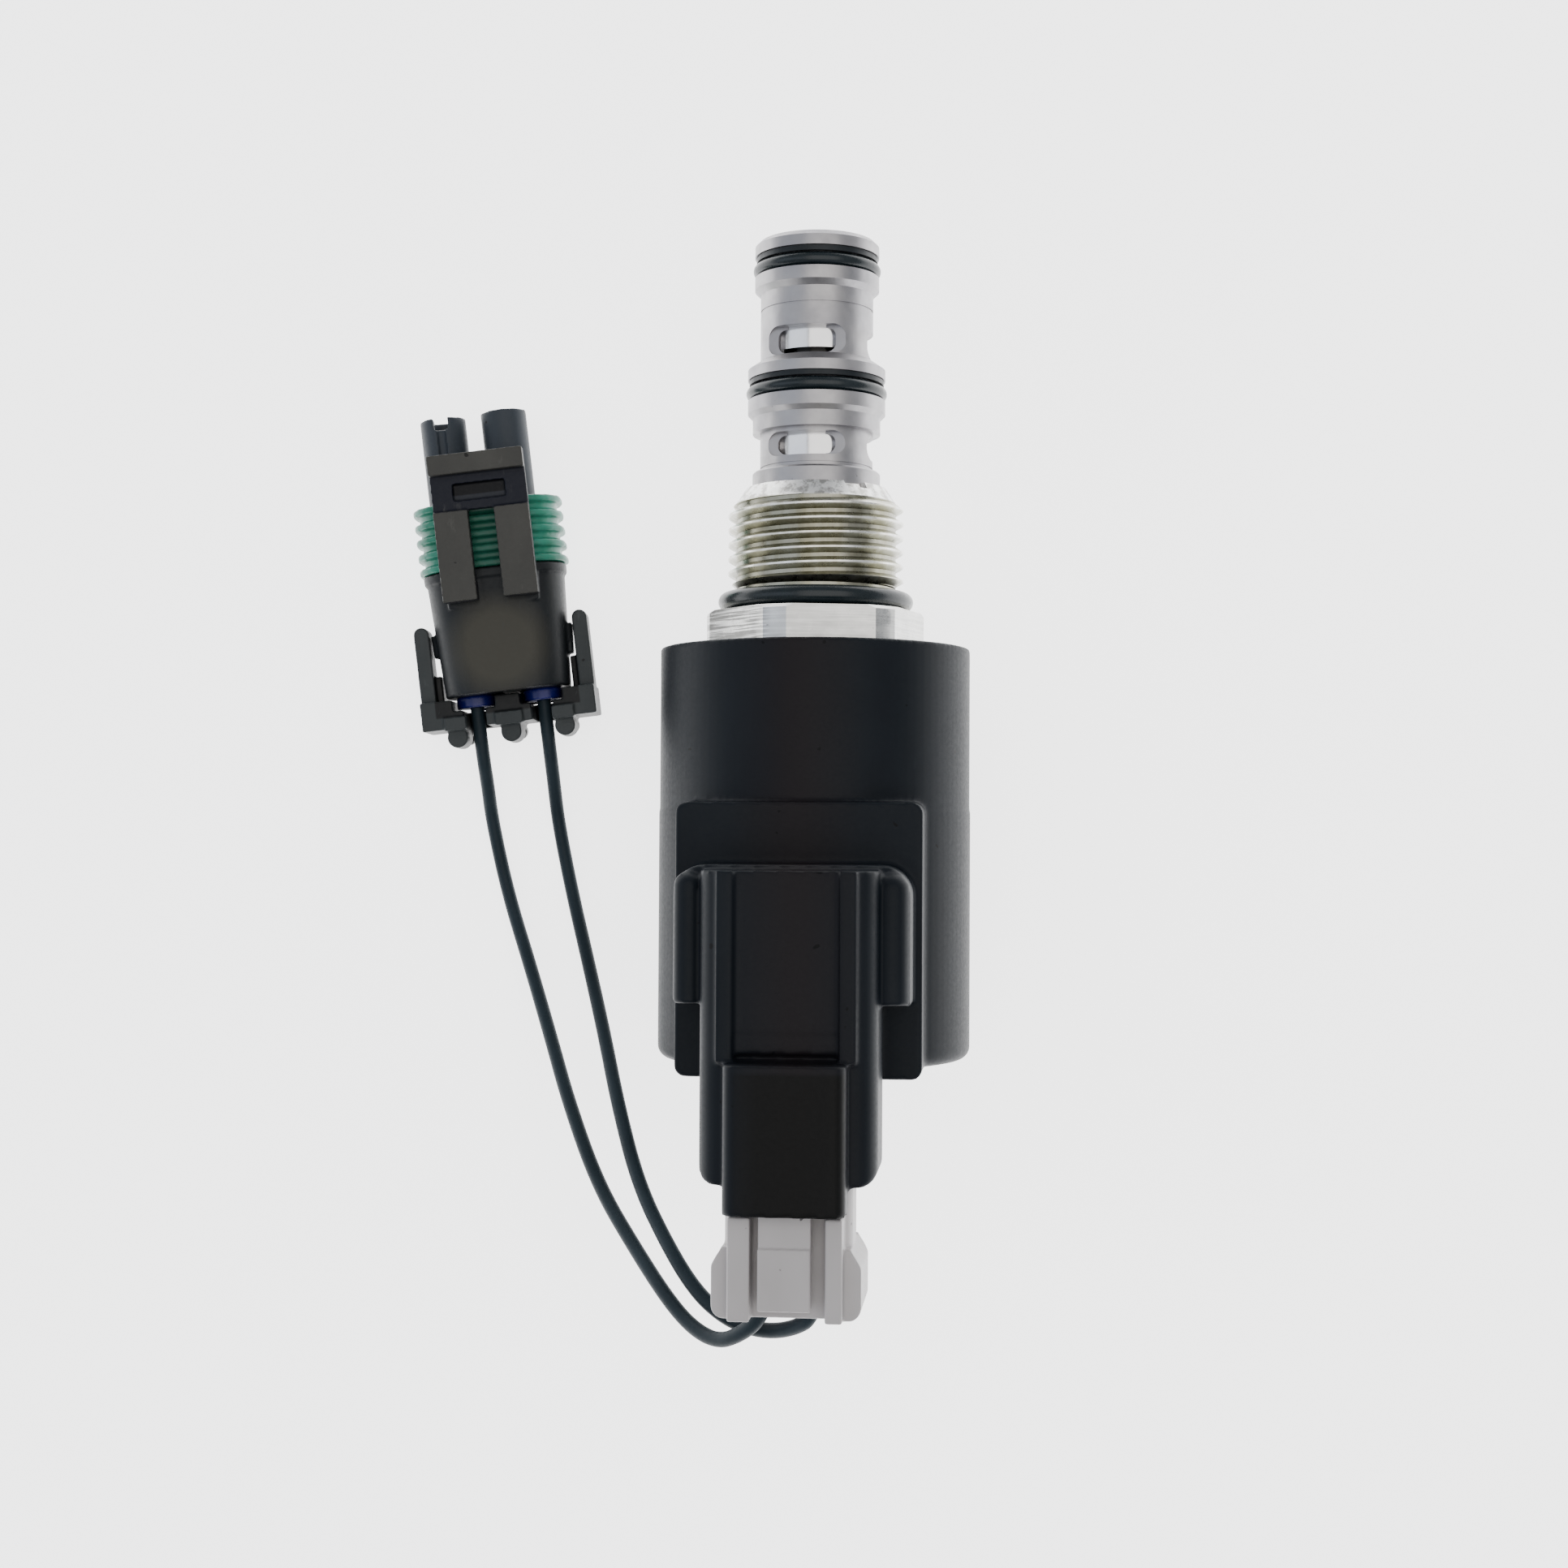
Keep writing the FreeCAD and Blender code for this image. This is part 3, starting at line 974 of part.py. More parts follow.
def make_lock_arm():
    pieces = [
        block("arm_plate", ("-arm_half_width", "arm_plate_rear", "arm_low"),
              ("arm_half_width", "arm_front", "arm_plate_top")),
        block("arm_lip", ("-arm_half_width", "arm_lip_rear", "arm_low"),
              ("arm_half_width", "arm_front", "arm_lip_top")),
    ]
    for side, low, high in (("left", "-arm_half_width", "-arm_leg_inner"),
                            ("right", "arm_leg_inner", "arm_half_width")):
        pieces.append(block("arm_leg_" + side, (low, "arm_rear", "arm_low"),
                            (high, "arm_plate_rear", "arm_top")))
        pieces.append(block("arm_foot_" + side, (low, "arm_rear", "arm_foot+heel_radius"),
                            (high, "arm_foot_front", "arm_top")))
        pieces.append(cross_rod("arm_heel_" + side, "heel_radius", low, high,
                                "arm_foot_front-heel_radius", "arm_foot+heel_radius"))
    window = block("arm_window", ("-arm_window_half", "arm_window_rear", "arm_window_floor"),
                   ("arm_window_half", "arm_window_front", "arm_lip_top+overrun"))
    keep("tower_lock_arm", cut("tower_lock_arm", joined("arm_solid", pieces), [window]),
         TOWER_PLACE)


def post(name, radius, across, along, low, high):
    """An upright round rod."""
    rod_up = doc.addObject("Part::Cylinder", name)
    bind(rod_up, "Radius", radius)
    bind(rod_up, "Height", difference(high, low))
    rod_up.Placement = Placement(Vector(number(across), number(along), number(low)), Rotation())
    return rod_up


def make_secondary_lock():
    """A hinged tray behind the connector: a bar, two round-ended arms and three hinge loops."""
    pieces = [block("lock_bar", ("-lock_outer", "lock_rear", "lock_bar_low"),
                    ("lock_outer", "lock_shelf_front", "lock_bar_top"))]
    for side, low, high in (("left", "-lock_outer", "-lock_inner"),
                            ("right", "lock_inner", "lock_outer")):
        pieces.append(block("lock_arm_" + side, (low, "lock_rear", "lock_arm_low"),
                            (high, "lock_arm_end", "lock_arm_top")))
        pieces.append(post("lock_arm_end_" + side, "lock_arm_end_radius",
                           ("-" if side == "left" else "") + "lock_arm_middle", "lock_arm_end",
                           "lock_arm_low", "lock_arm_top"))
    for which, middle in (("left", "-hinge_spacing"), ("middle", ""), ("right", "hinge_spacing")):
        left, right = middle + "-hinge_half_length", middle + "+hinge_half_length"
        loop = cross_rod("hinge_rod_" + which, "hinge_radius", left, right,
                         "hinge_along", "hinge_height")
        disc = post("hinge_disc_" + which, "hinge_half_length", middle, "hinge_along",
                    "hinge_height-hinge_radius", "hinge_height+hinge_radius")
        pieces.append(shared("hinge_loop_" + which, loop, disc))
        pieces.append(block("hinge_strap_" + which, (left, "hinge_along", "hinge_height"),
                            (right, "lock_bar_front", "strap_top")))
    slots = []
    for side, sign in sides():
        middle = sign + "cable_spacing_half"
        slots.append(block("lock_slot_" + side, (middle + "-lock_slot_half",
                                                 "lock_rear-overrun", "lock_slot_low"),
                           (middle + "+lock_slot_half", "lock_shelf_front",
                            "lock_bar_top+overrun")))
        slots.append(block("lock_shelf_slot_" + side,
                           (middle + "-cable_lip_radius-lock_shelf_gap", "lock_bar_front",
                            "lock_bar_low-overrun"),
                           (middle + "+cable_lip_radius+lock_shelf_gap",
                            "lock_shelf_front+overrun", "lock_bar_top+overrun")))
    keep("secondary_lock", cut("secondary_lock", joined("lock_solid", pieces), slots),
         TOWER_PLACE)


make_cage()
make_adapter()
make_seals()
make_spool()
make_moving_core()
make_tube_and_pole()
make_spring()
make_nut()
make_coil_insides()
make_coil_housing()
make_plug()
make_wire("wire_left", "left", LEFT_ROUTE)
make_wire("wire_right", "right", RIGHT_ROUTE)
make_tower_connector()
make_tower_seal()
make_lock_arm()
make_secondary_lock()
doc.recompute()

for feature in doc.Objects:
    if {"Invalid", "Error"} & set(feature.State):
        raise RuntimeError("%s did not build: %s" % (feature.Label, feature.State))
os.makedirs("parts", exist_ok=True)
for node, feature in subparts:
    shape = feature.Shape
    if shape.isNull() or not shape.isValid() or not shape.Solids:
        raise RuntimeError("%s has no valid solid" % node)
    shape.exportStep("parts/%s.step" % node)
    print("%-18s solids %d volume %9.1f" % (node, len(shape.Solids), shape.Volume))
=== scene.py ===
import json
import math

import bmesh
import bpy
from mathutils import Matrix, Vector


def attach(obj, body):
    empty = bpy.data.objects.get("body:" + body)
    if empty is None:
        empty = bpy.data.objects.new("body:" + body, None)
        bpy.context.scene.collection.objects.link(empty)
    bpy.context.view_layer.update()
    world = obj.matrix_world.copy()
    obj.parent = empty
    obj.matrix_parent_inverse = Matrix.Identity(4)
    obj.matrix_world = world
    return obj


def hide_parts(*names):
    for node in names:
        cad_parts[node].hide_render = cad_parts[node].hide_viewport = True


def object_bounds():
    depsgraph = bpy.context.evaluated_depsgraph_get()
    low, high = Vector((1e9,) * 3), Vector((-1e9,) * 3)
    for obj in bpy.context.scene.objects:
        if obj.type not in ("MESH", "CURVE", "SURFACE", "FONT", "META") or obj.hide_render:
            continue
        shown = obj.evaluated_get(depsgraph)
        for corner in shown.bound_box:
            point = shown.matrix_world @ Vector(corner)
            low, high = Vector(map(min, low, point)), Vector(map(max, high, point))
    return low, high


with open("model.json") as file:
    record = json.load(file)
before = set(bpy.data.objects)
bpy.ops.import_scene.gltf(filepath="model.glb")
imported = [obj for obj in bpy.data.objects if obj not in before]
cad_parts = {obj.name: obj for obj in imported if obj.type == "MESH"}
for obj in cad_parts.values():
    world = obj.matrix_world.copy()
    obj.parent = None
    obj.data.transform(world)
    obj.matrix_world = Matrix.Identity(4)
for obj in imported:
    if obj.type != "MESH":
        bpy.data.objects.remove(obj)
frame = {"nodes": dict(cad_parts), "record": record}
CAD_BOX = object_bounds()
nodes = frame["nodes"]
record = frame["record"]
SLOT_OF = {row["node"]: row["material_slot"] for row in record["subparts"]}
BODY_OF = {node: body for body, members in record["behaviour"]["bodies"].items()
           for node in members}

MM = 0.001
MICRON = 1e-6
COIL_ROLL = math.radians(-6.0)       # the coil lies rolled a little about the valve's axis
TOWER_TURN = math.radians(7.05)      # the tower connector lies turned about the upright
TOWER_SPOT = (-40.1, -12.1, -19.65)  # where its own frame starts, in millimetres
SPOOL_RADIUS = 5.68 * MM
THREAD_ROOT, THREAD_CREST = 10.05 * MM, 11.15 * MM
CABLE_SPACING_HALF = 4.05
CABLE_LIP_RADIUS = 2.6
HINGE_SPACING = 7.1
COIL_FRAME = Matrix.Rotation(COIL_ROLL, 4, "Y")
TOWER_FRAME = (Matrix.Translation(Vector(TOWER_SPOT) * MM)
               @ Matrix.Rotation(TOWER_TURN, 4, "Z"))


def place(x, y, z):
    """A point given in millimetres."""
    return Vector((x, y, z)) * MM


def add_object(name, data):
    """A new object in the scene, with that name and data."""
    piece = bpy.data.objects.new(name, data)
    bpy.context.scene.collection.objects.link(piece)
    return piece


def paint(piece, material):
    """Give every slot of a piece one material."""
    if not piece.data.materials:
        piece.data.materials.append(material)
    for index in range(len(piece.data.materials)):
        piece.data.materials[index] = material


# ---- camera ----------------------------------------------------------------------------------

CAMERA_SPOT = (-3.86, -28.2, 283.0)
CAMERA_PITCH, CAMERA_ROLL = 1.33, 0.3
LENS, SENSOR = 51.3, 36.0


def make_camera():
    """Nearly straight above the valve, with its nose up in the picture."""
    data = bpy.data.cameras.new("camera")
    data.lens = LENS
    data.sensor_width = SENSOR
    data.clip_start = 0.01
    data.clip_end = 20.0
    camera = add_object("camera", data)
    camera.location = place(*CAMERA_SPOT)
    camera.rotation_euler = (math.radians(CAMERA_PITCH), 0, math.radians(CAMERA_ROLL))
    bpy.context.scene.camera = camera


make_camera()


# ---- wires -----------------------------------------------------------------------------------

WIRE_DIAMETER = 1.8

# each wire's route in millimetres, from the plug's rear round to the tower connector
WIRE_ROUTES = {
    "wire_left": [
        (-5.66, -81.2, 26.55), (-6.2, -83.3, 26.4), (-8.65, -85.6, 24.6), (-11.2, -87.0, 22.0),
        (-14.2, -86.2, 18.9), (-17.3, -83.6, 15.6), (-21.5, -78.8, 10.0), (-26.8, -72.0, 3.0),
        (-31.2, -62.6, -4.0), (-34.3, -54.4, -10.0), (-37.6, -45.6, -15.2),
        (-41.0, -36.2, -18.5), (-43.2, -26.4, -18.4), (-43.5, -21.6, -15.7),
        (-43.93, -17.41, -13.4), (-44.66, -11.46, -13.35),
    ],
    "wire_right": [
        (0.01, -81.2, 27.15), (-0.5, -83.2, 27.0), (-2.3, -84.6, 25.3), (-4.9, -85.5, 23.2),
        (-7.8, -85.5, 21.3), (-10.8, -84.6, 19.2), (-14.0, -82.3, 16.6), (-17.3, -78.2, 12.6),
        (-21.6, -71.4, 6.0), (-24.7, -62.5, -1.2), (-27.0, -54.2, -7.6), (-29.6, -45.4, -13.4),
        (-32.3, -36.0, -17.8), (-34.3, -26.4, -18.3), (-34.7, -20.9, -15.7),
        (-35.09, -16.32, -13.4), (-35.83, -10.36, -13.35),
    ],
}


def make_wire(node, points):
    """One insulated wire, a round tube along a smooth curve on its route, and that line."""
    data = bpy.data.curves.new(node + "_route", "CURVE")
    data.dimensions = "3D"
    data.resolution_u = 16
    data.bevel_resolution = 6
    data.use_fill_caps = True
    spline = data.splines.new("NURBS")
    spline.points.add(len(points) - 1)
    for point, spot in zip(spline.points, points):
        point.co = (*place(*spot), 1.0)
    spline.order_u = 3
    spline.use_endpoint_u = True
    route = add_object(node + "_route", data)
    bpy.context.view_layer.update()
    line = bpy.data.meshes.new_from_object(route)
    path = [vertex.co.copy() for vertex in line.vertices]
    data.bevel_depth = WIRE_DIAMETER / 2 * MM
    bpy.context.view_layer.update()
    tube = bpy.data.meshes.new_from_object(
        route.evaluated_get(bpy.context.evaluated_depsgraph_get()))
    bpy.data.objects.remove(route)
    bpy.data.meshes.remove(line)
    tube.shade_smooth()
    wire = add_object(node + "_insulation", tube)
    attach(wire, "coil")
    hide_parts(node)
    return wire, path


wires = [make_wire(node, points) for node, points in WIRE_ROUTES.items()]


# ---- materials -------------------------------------------------------------------------------

class Shader:
    """A node material with one principled shader, and short ways to add nodes to it."""

    def __init__(self, name, roughness=0.5, metallic=0.0, specular=0.5, coat=0.0,
                 subsurface=0.0):
        self.material = bpy.data.materials.new(name)
        self.material.use_nodes = True
        self.tree = self.material.node_tree
        self.bsdf = self.tree.nodes["Principled BSDF"]
        self.set("Roughness", roughness)
        self.set("Metallic", metallic)
        self.set("Specular IOR Level", specular)
        self.set("Coat Weight", coat)
        self.set("Coat Roughness", 0.15)
        self.set("Subsurface Weight", subsurface)
        self.set("Subsurface Scale", 0.0015)
        self.normal = None

    def set(self, socket, value):
        """Set one of the principled shader's inputs."""
        self.bsdf.inputs[socket].default_value = value

    def node(self, kind, **values):
        """A new node with the given settings."""
        made = self.tree.nodes.new(kind)
        for key, value in values.items():
            setattr(made, key, value)
        return made

    def feed(self, socket, value):
        """Set an input from another node's output, a colour or a number."""
        if isinstance(value, bpy.types.NodeSocket):
            self.tree.links.new(value, socket)
        elif hasattr(value, "__len__"):
            socket.default_value = (*value, 1.0)
        else:
            socket.default_value = value

    def coordinates(self, stretch=(1, 1, 1)):
        """Object coordinates, in metres, stretched along each axis."""
        mapping = self.node("ShaderNodeMapping")
        mapping.inputs["Scale"].default_value = stretch
        self.feed(mapping.inputs["Vector"], self.node("ShaderNodeTexCoord").outputs["Object"])
        return mapping.outputs["Vector"]

    def noise(self, scale, detail=3.0, roughness=0.5, stretch=(1, 1, 1)):
        """Noise whose scale is in cells per metre."""
        made = self.node("ShaderNodeTexNoise")
        made.inputs["Scale"].default_value = scale
        made.inputs["Detail"].default_value = detail
        made.inputs["Roughness"].default_value = roughness
        self.feed(made.inputs["Vector"], self.coordinates(stretch))
        return made.outputs["Fac"]

    def ramp(self, factor, *stops):
        """A colour ramp from (position, value or colour) stops."""
        made = self.node("ShaderNodeValToRGB")
        elements = made.color_ramp.elements
        while len(elements) < len(stops):
            elements.new(0.5)
        for element, (position, colour) in zip(elements, stops):
            element.position = position
            if not hasattr(colour, "__len__"):
                colour = (colour, colour, colour)
            element.color = (*colour, 1.0)
        self.feed(made.inputs["Fac"], factor)
        return made.outputs["Color"]

    def mix(self, factor, first, second, blend="MIX"):
        """A colour mix; factor and the colours may be sockets or values."""
        made = self.node("ShaderNodeMix", data_type="RGBA", blend_type=blend)
        for socket, value in ((made.inputs[0], factor), (made.inputs[6], first),
                              (made.inputs[7], second)):
            self.feed(socket, value)
        return made.outputs[2]

    def maths(self, operation, first, second=0.0, third=0.0):
        """The result of a maths node, whose inputs may be sockets or numbers."""
        made = self.node("ShaderNodeMath", operation=operation)
        for socket, value in zip(made.inputs, (first, second, third)):
            self.feed(socket, value)
        return made.outputs[0]

    def colour(self, value):
        """Give the base colour its source."""
        self.feed(self.bsdf.inputs["Base Color"], value)

    def roughness(self, value):
        """Give the roughness its source."""
        self.feed(self.bsdf.inputs["Roughness"], value)

    def bump(self, height, distance, strength=1.0):
        """Bump on top of any bump before it; the height at full value is distance metres."""
        made = self.node("ShaderNodeBump")
        made.inputs["Distance"].default_value = distance
        made.inputs["Strength"].default_value = strength
        self.feed(made.inputs["Height"], height)
        if self.normal is not None:
            self.feed(made.inputs["Normal"], self.normal)
        self.normal = made.outputs["Normal"]
        self.feed(self.bsdf.inputs["Normal"], self.normal)

    def split(self):
        """The x, y and z of the object coordinates, as sockets."""
        made = self.node("ShaderNodeSeparateXYZ")
        self.feed(made.inputs[0], self.coordinates())
        return made.outputs[0], made.outputs[1], made.outputs[2]

    def radius(self):
        """Distance from the valve's axis, in metres."""
        x, y, z = self.split()
        square = self.maths("MULTIPLY_ADD", x, x, self.maths("MULTIPLY", z, z))
        return self.maths("SQRT", square)

    def band(self, value, start, end):
        """0 at start and 1 at end, steady beyond both; start may be the larger."""
        made = self.node("ShaderNodeMapRange")
        for socket, number in zip(made.inputs, (None, start, end, 0.0, 1.0)):
            if number is not None:
                socket.default_value = number
        self.feed(made.inputs[0], value)
        return made.outputs[0]


ALONG_AXIS = (0.004, 1.0, 0.004)     # rings round the valve's axis: detail runs along Y only


def turned_metal(name, dark, light, roughness, ring_depth=4 * MICRON, specks=0.4,
                 ring_scale=7000.0):
    """Turned metal: fine rings round the axis, faint stains and small dark pits."""
    made = Shader(name, roughness=roughness, metallic=1.0)
    colour = made.ramp(made.noise(160.0, 4.0, 0.6), (0.35, dark), (0.65, light))
    pits = made.ramp(made.noise(1500.0, 2.0, 0.6), (0.72, 0.0), (0.78, specks))
    made.colour(made.mix(pits, colour, tuple(c * 0.3 for c in dark)))
    made.roughness(made.ramp(made.noise(500.0, 4.0, 0.65), (0.3, roughness * 0.85),
                             (0.72, min(1.0, roughness * 1.3))))
    made.bump(made.noise(ring_scale, 3.0, 0.6, ALONG_AXIS), ring_depth)
    made.bump(made.noise(1500.0, 2.0, 0.6), -12 * MICRON, 0.4)
    return made


def plated_metal():
    """Zinc plate on the adapter: olive thread roots, grimy and painted dark as shade, bright
    crests, worn and painted as a highlight, and milled and pitted flats, whose milling lines are
    painted darker on the left flats as shade.
    """
    made = Shader("zinc_steel", roughness=0.3, metallic=1.0)
    x, y, z = made.split()
    radius = made.band(made.radius(), THREAD_ROOT, THREAD_CREST)
    # grime and painted shade darken the thread roots; wear and a painted highlight lighten the
    # crests
    flank = made.ramp(radius, (0.05, (0.30, 0.295, 0.24)), (0.35, (0.47, 0.47, 0.405)),
                      (0.75, (0.54, 0.54, 0.48)), (0.93, (0.86, 0.86, 0.83)))
    stain = made.ramp(made.noise(420.0, 4.0, 0.6, (1.0, 0.4, 1.0)), (0.40, 1.0),
                      (0.62, (0.68, 0.66, 0.56)))
    thread = made.mix(0.8, flank, stain, "MULTIPLY")
    facets = made.ramp(made.noise(90.0, 3.0, 0.6), (0.35, (0.55, 0.55, 0.54)),
                       (0.65, (0.74, 0.74, 0.72)))
    lines = made.ramp(made.noise(3300.0, 2.0, 0.6, (0.03, 1.0, 0.03)), (0.45, 1.0), (0.56, 0.0))
    # real milling lines, with painted shade making them much darker on the left flats
    side = made.ramp(made.band(x, -5.5 * MM, -7.5 * MM), (0.0, 0.18), (1.0, 0.85))
    facets = made.mix(made.maths("MULTIPLY", lines, side), facets, (0.13, 0.13, 0.125))
    lip = made.ramp(made.noise(700.0, 4.0, 0.7), (0.42, (0.42, 0.41, 0.39)),
                    (0.55, (0.88, 0.88, 0.86)))
    smooth = made.mix(made.band(y, 13.7 * MM, 13.9 * MM), thread, lip)
    whole = made.mix(made.band(y, 0.05 * MM, -0.05 * MM), smooth, facets)
    pits = made.ramp(made.noise(850.0, 3.0, 0.7), (0.68, 0.0), (0.74, 0.9))
    made.colour(made.mix(pits, whole, (0.06, 0.055, 0.045)))
    made.roughness(made.ramp(made.noise(600.0, 4.0, 0.65), (0.3, 0.2), (0.72, 0.42)))
    made.bump(made.noise(2300.0, 3.0, 0.7, (0.06, 1.0, 0.06)), 9 * MICRON, 0.8)
    made.bump(made.noise(420.0, 4.0, 0.6), 22 * MICRON, 0.6)
    return made.material


def spool_metal():
    """Polished lands, and painted shade in the grooves between them, where the steel is coloured
    near black.
    """
    made = turned_metal("spool_steel", (0.80, 0.80, 0.81), (0.90, 0.89, 0.88), 0.16,
                        ring_depth=1.5 * MICRON, specks=0.05)
    polished = made.bsdf.inputs["Base Color"].links[0].from_socket
    land = made.band(made.radius(), SPOOL_RADIUS - 0.45 * MM, SPOOL_RADIUS - 0.25 * MM)
    # painted shade: the grooves below the lands are coloured near black
    made.colour(made.mix(land, (0.035, 0.034, 0.033), polished))
    return made.material


def plastic(name, dark, light, roughness, grain=3800.0, grain_depth=5 * MICRON, specular=0.3,
            scuffs=0.0, zones=None):
    """Moulded plastic: fine grain, faint flow variation, scuff marks and pinholes."""
    made = Shader(name, roughness=roughness, specular=specular)
    colour = made.ramp(made.noise(110.0, 3.0, 0.55, (1.0, 0.6, 1.0)), (0.3, dark), (0.7, light))
    if zones:
        colour = zones(made, colour)
    pale = tuple(min(1.0, c * 2.2 + 0.01) for c in light)
    marks = made.ramp(made.noise(650.0, 5.0, 0.7, (1.0, 0.3, 1.0)), (0.62, 0.0), (0.75, scuffs))
    holes = made.ramp(made.noise(700.0, 1.0, 0.4), (0.78, 0.0), (0.81, 0.9))
    colour = made.mix(marks, colour, pale)
    made.colour(made.mix(holes, colour, tuple(c * 0.15 for c in dark)))
    made.roughness(made.ramp(made.noise(2200.0, 3.0, 0.6), (0.3, roughness * 0.9),
                             (0.7, min(1.0, roughness * 1.12))))
    made.bump(made.noise(grain, 3.0, 0.6), grain_depth)
    made.bump(made.noise(700.0, 1.0, 0.4), -15 * MICRON, 0.3)
    return made.material


def coil_zones(made, colour):
    """The overmould is browner along the middle of its top and bluer down its sides; the top of the
    receptacle's latch box is painted near black as shade.
    """
    x, y, z = made.split()
    aside = made.maths("ABSOLUTE", made.maths("ADD", x, 2.5 * MM))
    brown = made.maths("MULTIPLY", made.band(aside, 8.0 * MM, 1.0 * MM),
                       made.band(z, 12.0 * MM, 19.0 * MM))
    colour = made.mix(brown, colour, (0.0096, 0.0080, 0.0094))
    # painted shade: the top of the latch box, past y -54.5 mm and above z 36.5 mm
    box = made.maths("MULTIPLY", made.band(y, -54.2 * MM, -54.7 * MM),
                     made.band(z, 36.0 * MM, 36.5 * MM))
    return made.mix(made.maths("MULTIPLY", box, 0.8), colour, (0.0022, 0.0024, 0.0018))


def tower_axes(made):
    """Distances along and across the tower connector, and the height, in metres."""
    x, y, z = made.split()
    x = made.maths("SUBTRACT", x, TOWER_SPOT[0] * MM)
    y = made.maths("SUBTRACT", y, TOWER_SPOT[1] * MM)
    cosine, sine = math.cos(TOWER_TURN), math.sin(TOWER_TURN)
    along = made.maths("MULTIPLY_ADD", x, -sine, made.maths("MULTIPLY", y, cosine))
    across = made.maths("MULTIPLY_ADD", x, cosine, made.maths("MULTIPLY", y, sine))
    return along, across, z


def shell_zones(made, colour):
    """The shell has a painted warm highlight round the middle of its flat top."""
    along, across, z = tower_axes(made)
    ahead = made.maths("SUBTRACT", along, 8.6 * MM)
    square = made.maths("MULTIPLY_ADD", across, across, made.maths("MULTIPLY", ahead, ahead))
    # painted highlight: a pale warm oval on the middle of the flat top
    painted_sheen = made.band(made.maths("SQRT", square), 7.6 * MM, 4.2 * MM)
    top = made.band(z, -9.2 * MM, -8.2 * MM)
    colour = made.mix(made.maths("MULTIPLY", painted_sheen, top), colour, (0.042, 0.040, 0.031))
    return made.mix(made.band(along, 26.0 * MM, 29.0 * MM), colour, (0.030, 0.037, 0.046))


def lock_zones(made, colour):
    """Painted shade: the tray of the secondary lock under the shell, and its lowest parts, are
    coloured near black as the shell's shade; its bar and arms are scuffed.
    """
    along, across, z = tower_axes(made)
    inside = made.maths("MULTIPLY", made.band(along, 0.0, 0.25 * MM),
                        made.band(made.maths("ABSOLUTE", across), 9.6 * MM, 9.4 * MM))
    # painted shade over the tray and the lowest parts
    shade = made.maths("MAXIMUM", inside, made.band(z, -11.9 * MM, -12.3 * MM))
    return made.mix(made.maths("MULTIPLY", shade, 0.9), colour, (0.003, 0.0032, 0.0036))


def arm_zones(made, colour):
    """The lock arm has scuffed legs and lip; its sides and the sunk plate between the legs are
    painted darker as shade, and its blind window holds a painted pale edge and painted deep shade.
    """
    along, across, z = tower_axes(made)
    plate = made.maths("MULTIPLY", made.band(along, 26.1 * MM, 26.4 * MM),
                       made.band(along, 31.1 * MM, 30.8 * MM))
    # painted shade on every face below the arm's top
    sides = made.band(z, -4.8 * MM, -5.1 * MM)
    colour = made.mix(made.maths("MULTIPLY", sides, 0.85), colour, (0.005, 0.006, 0.010))
    # painted shade on the sunk plate between the legs
    colour = made.mix(plate, colour, (0.0050, 0.0062, 0.0125))
    # painted light and shade inside the plate's blind window: a paler edge, then deep shade
    sunk = made.maths("MULTIPLY", plate, made.band(z, -5.4 * MM, -5.55 * MM))
    painted_window_light_and_shade = made.ramp(made.band(along, 28.2 * MM, 28.5 * MM), (0.2, (0.018, 0.020, 0.026)),
                     (0.8, (0.0012, 0.0014, 0.0025)))
    return made.mix(sunk, colour, painted_window_light_and_shade)


def seal_zones(made, colour):
    """The seal is painted darker between the lock arm's legs, as shade under the arm."""
    along, across, z = tower_axes(made)
    shaded = made.maths("MULTIPLY", made.band(made.maths("ABSOLUTE", across), 2.9 * MM, 2.5 * MM),
                        made.band(z, -12.0 * MM, -10.0 * MM))
    # painted shade between the legs
    return made.mix(made.maths("MULTIPLY", shaded, 0.75), colour, (0.002, 0.05, 0.030))


def rubber(name, dark, light, roughness, specular=0.35, subsurface=0.0, zones=None):
    """Moulded rubber: smooth, with slow unevenness, dust and a fine skin."""
    made = Shader(name, roughness=roughness, specular=specular, subsurface=subsurface)
    colour = made.ramp(made.noise(300.0, 3.0, 0.5), (0.3, dark), (0.7, light))
    dust = made.ramp(made.noise(2600.0, 3.0, 0.7), (0.68, 0.0), (0.78, 0.2))
    colour = made.mix(dust, colour, tuple(c * 2 + 0.01 for c in light))
    made.colour(zones(made, colour) if zones else colour)
    made.roughness(made.ramp(made.noise(800.0, 4.0, 0.65), (0.35, roughness * 0.85),
                             (0.75, roughness * 1.3)))
    made.bump(made.noise(2500.0, 3.0, 0.55), 2 * MICRON)
    made.bump(made.noise(380.0, 2.0, 0.5), 20 * MICRON, 0.5)
    return made.material


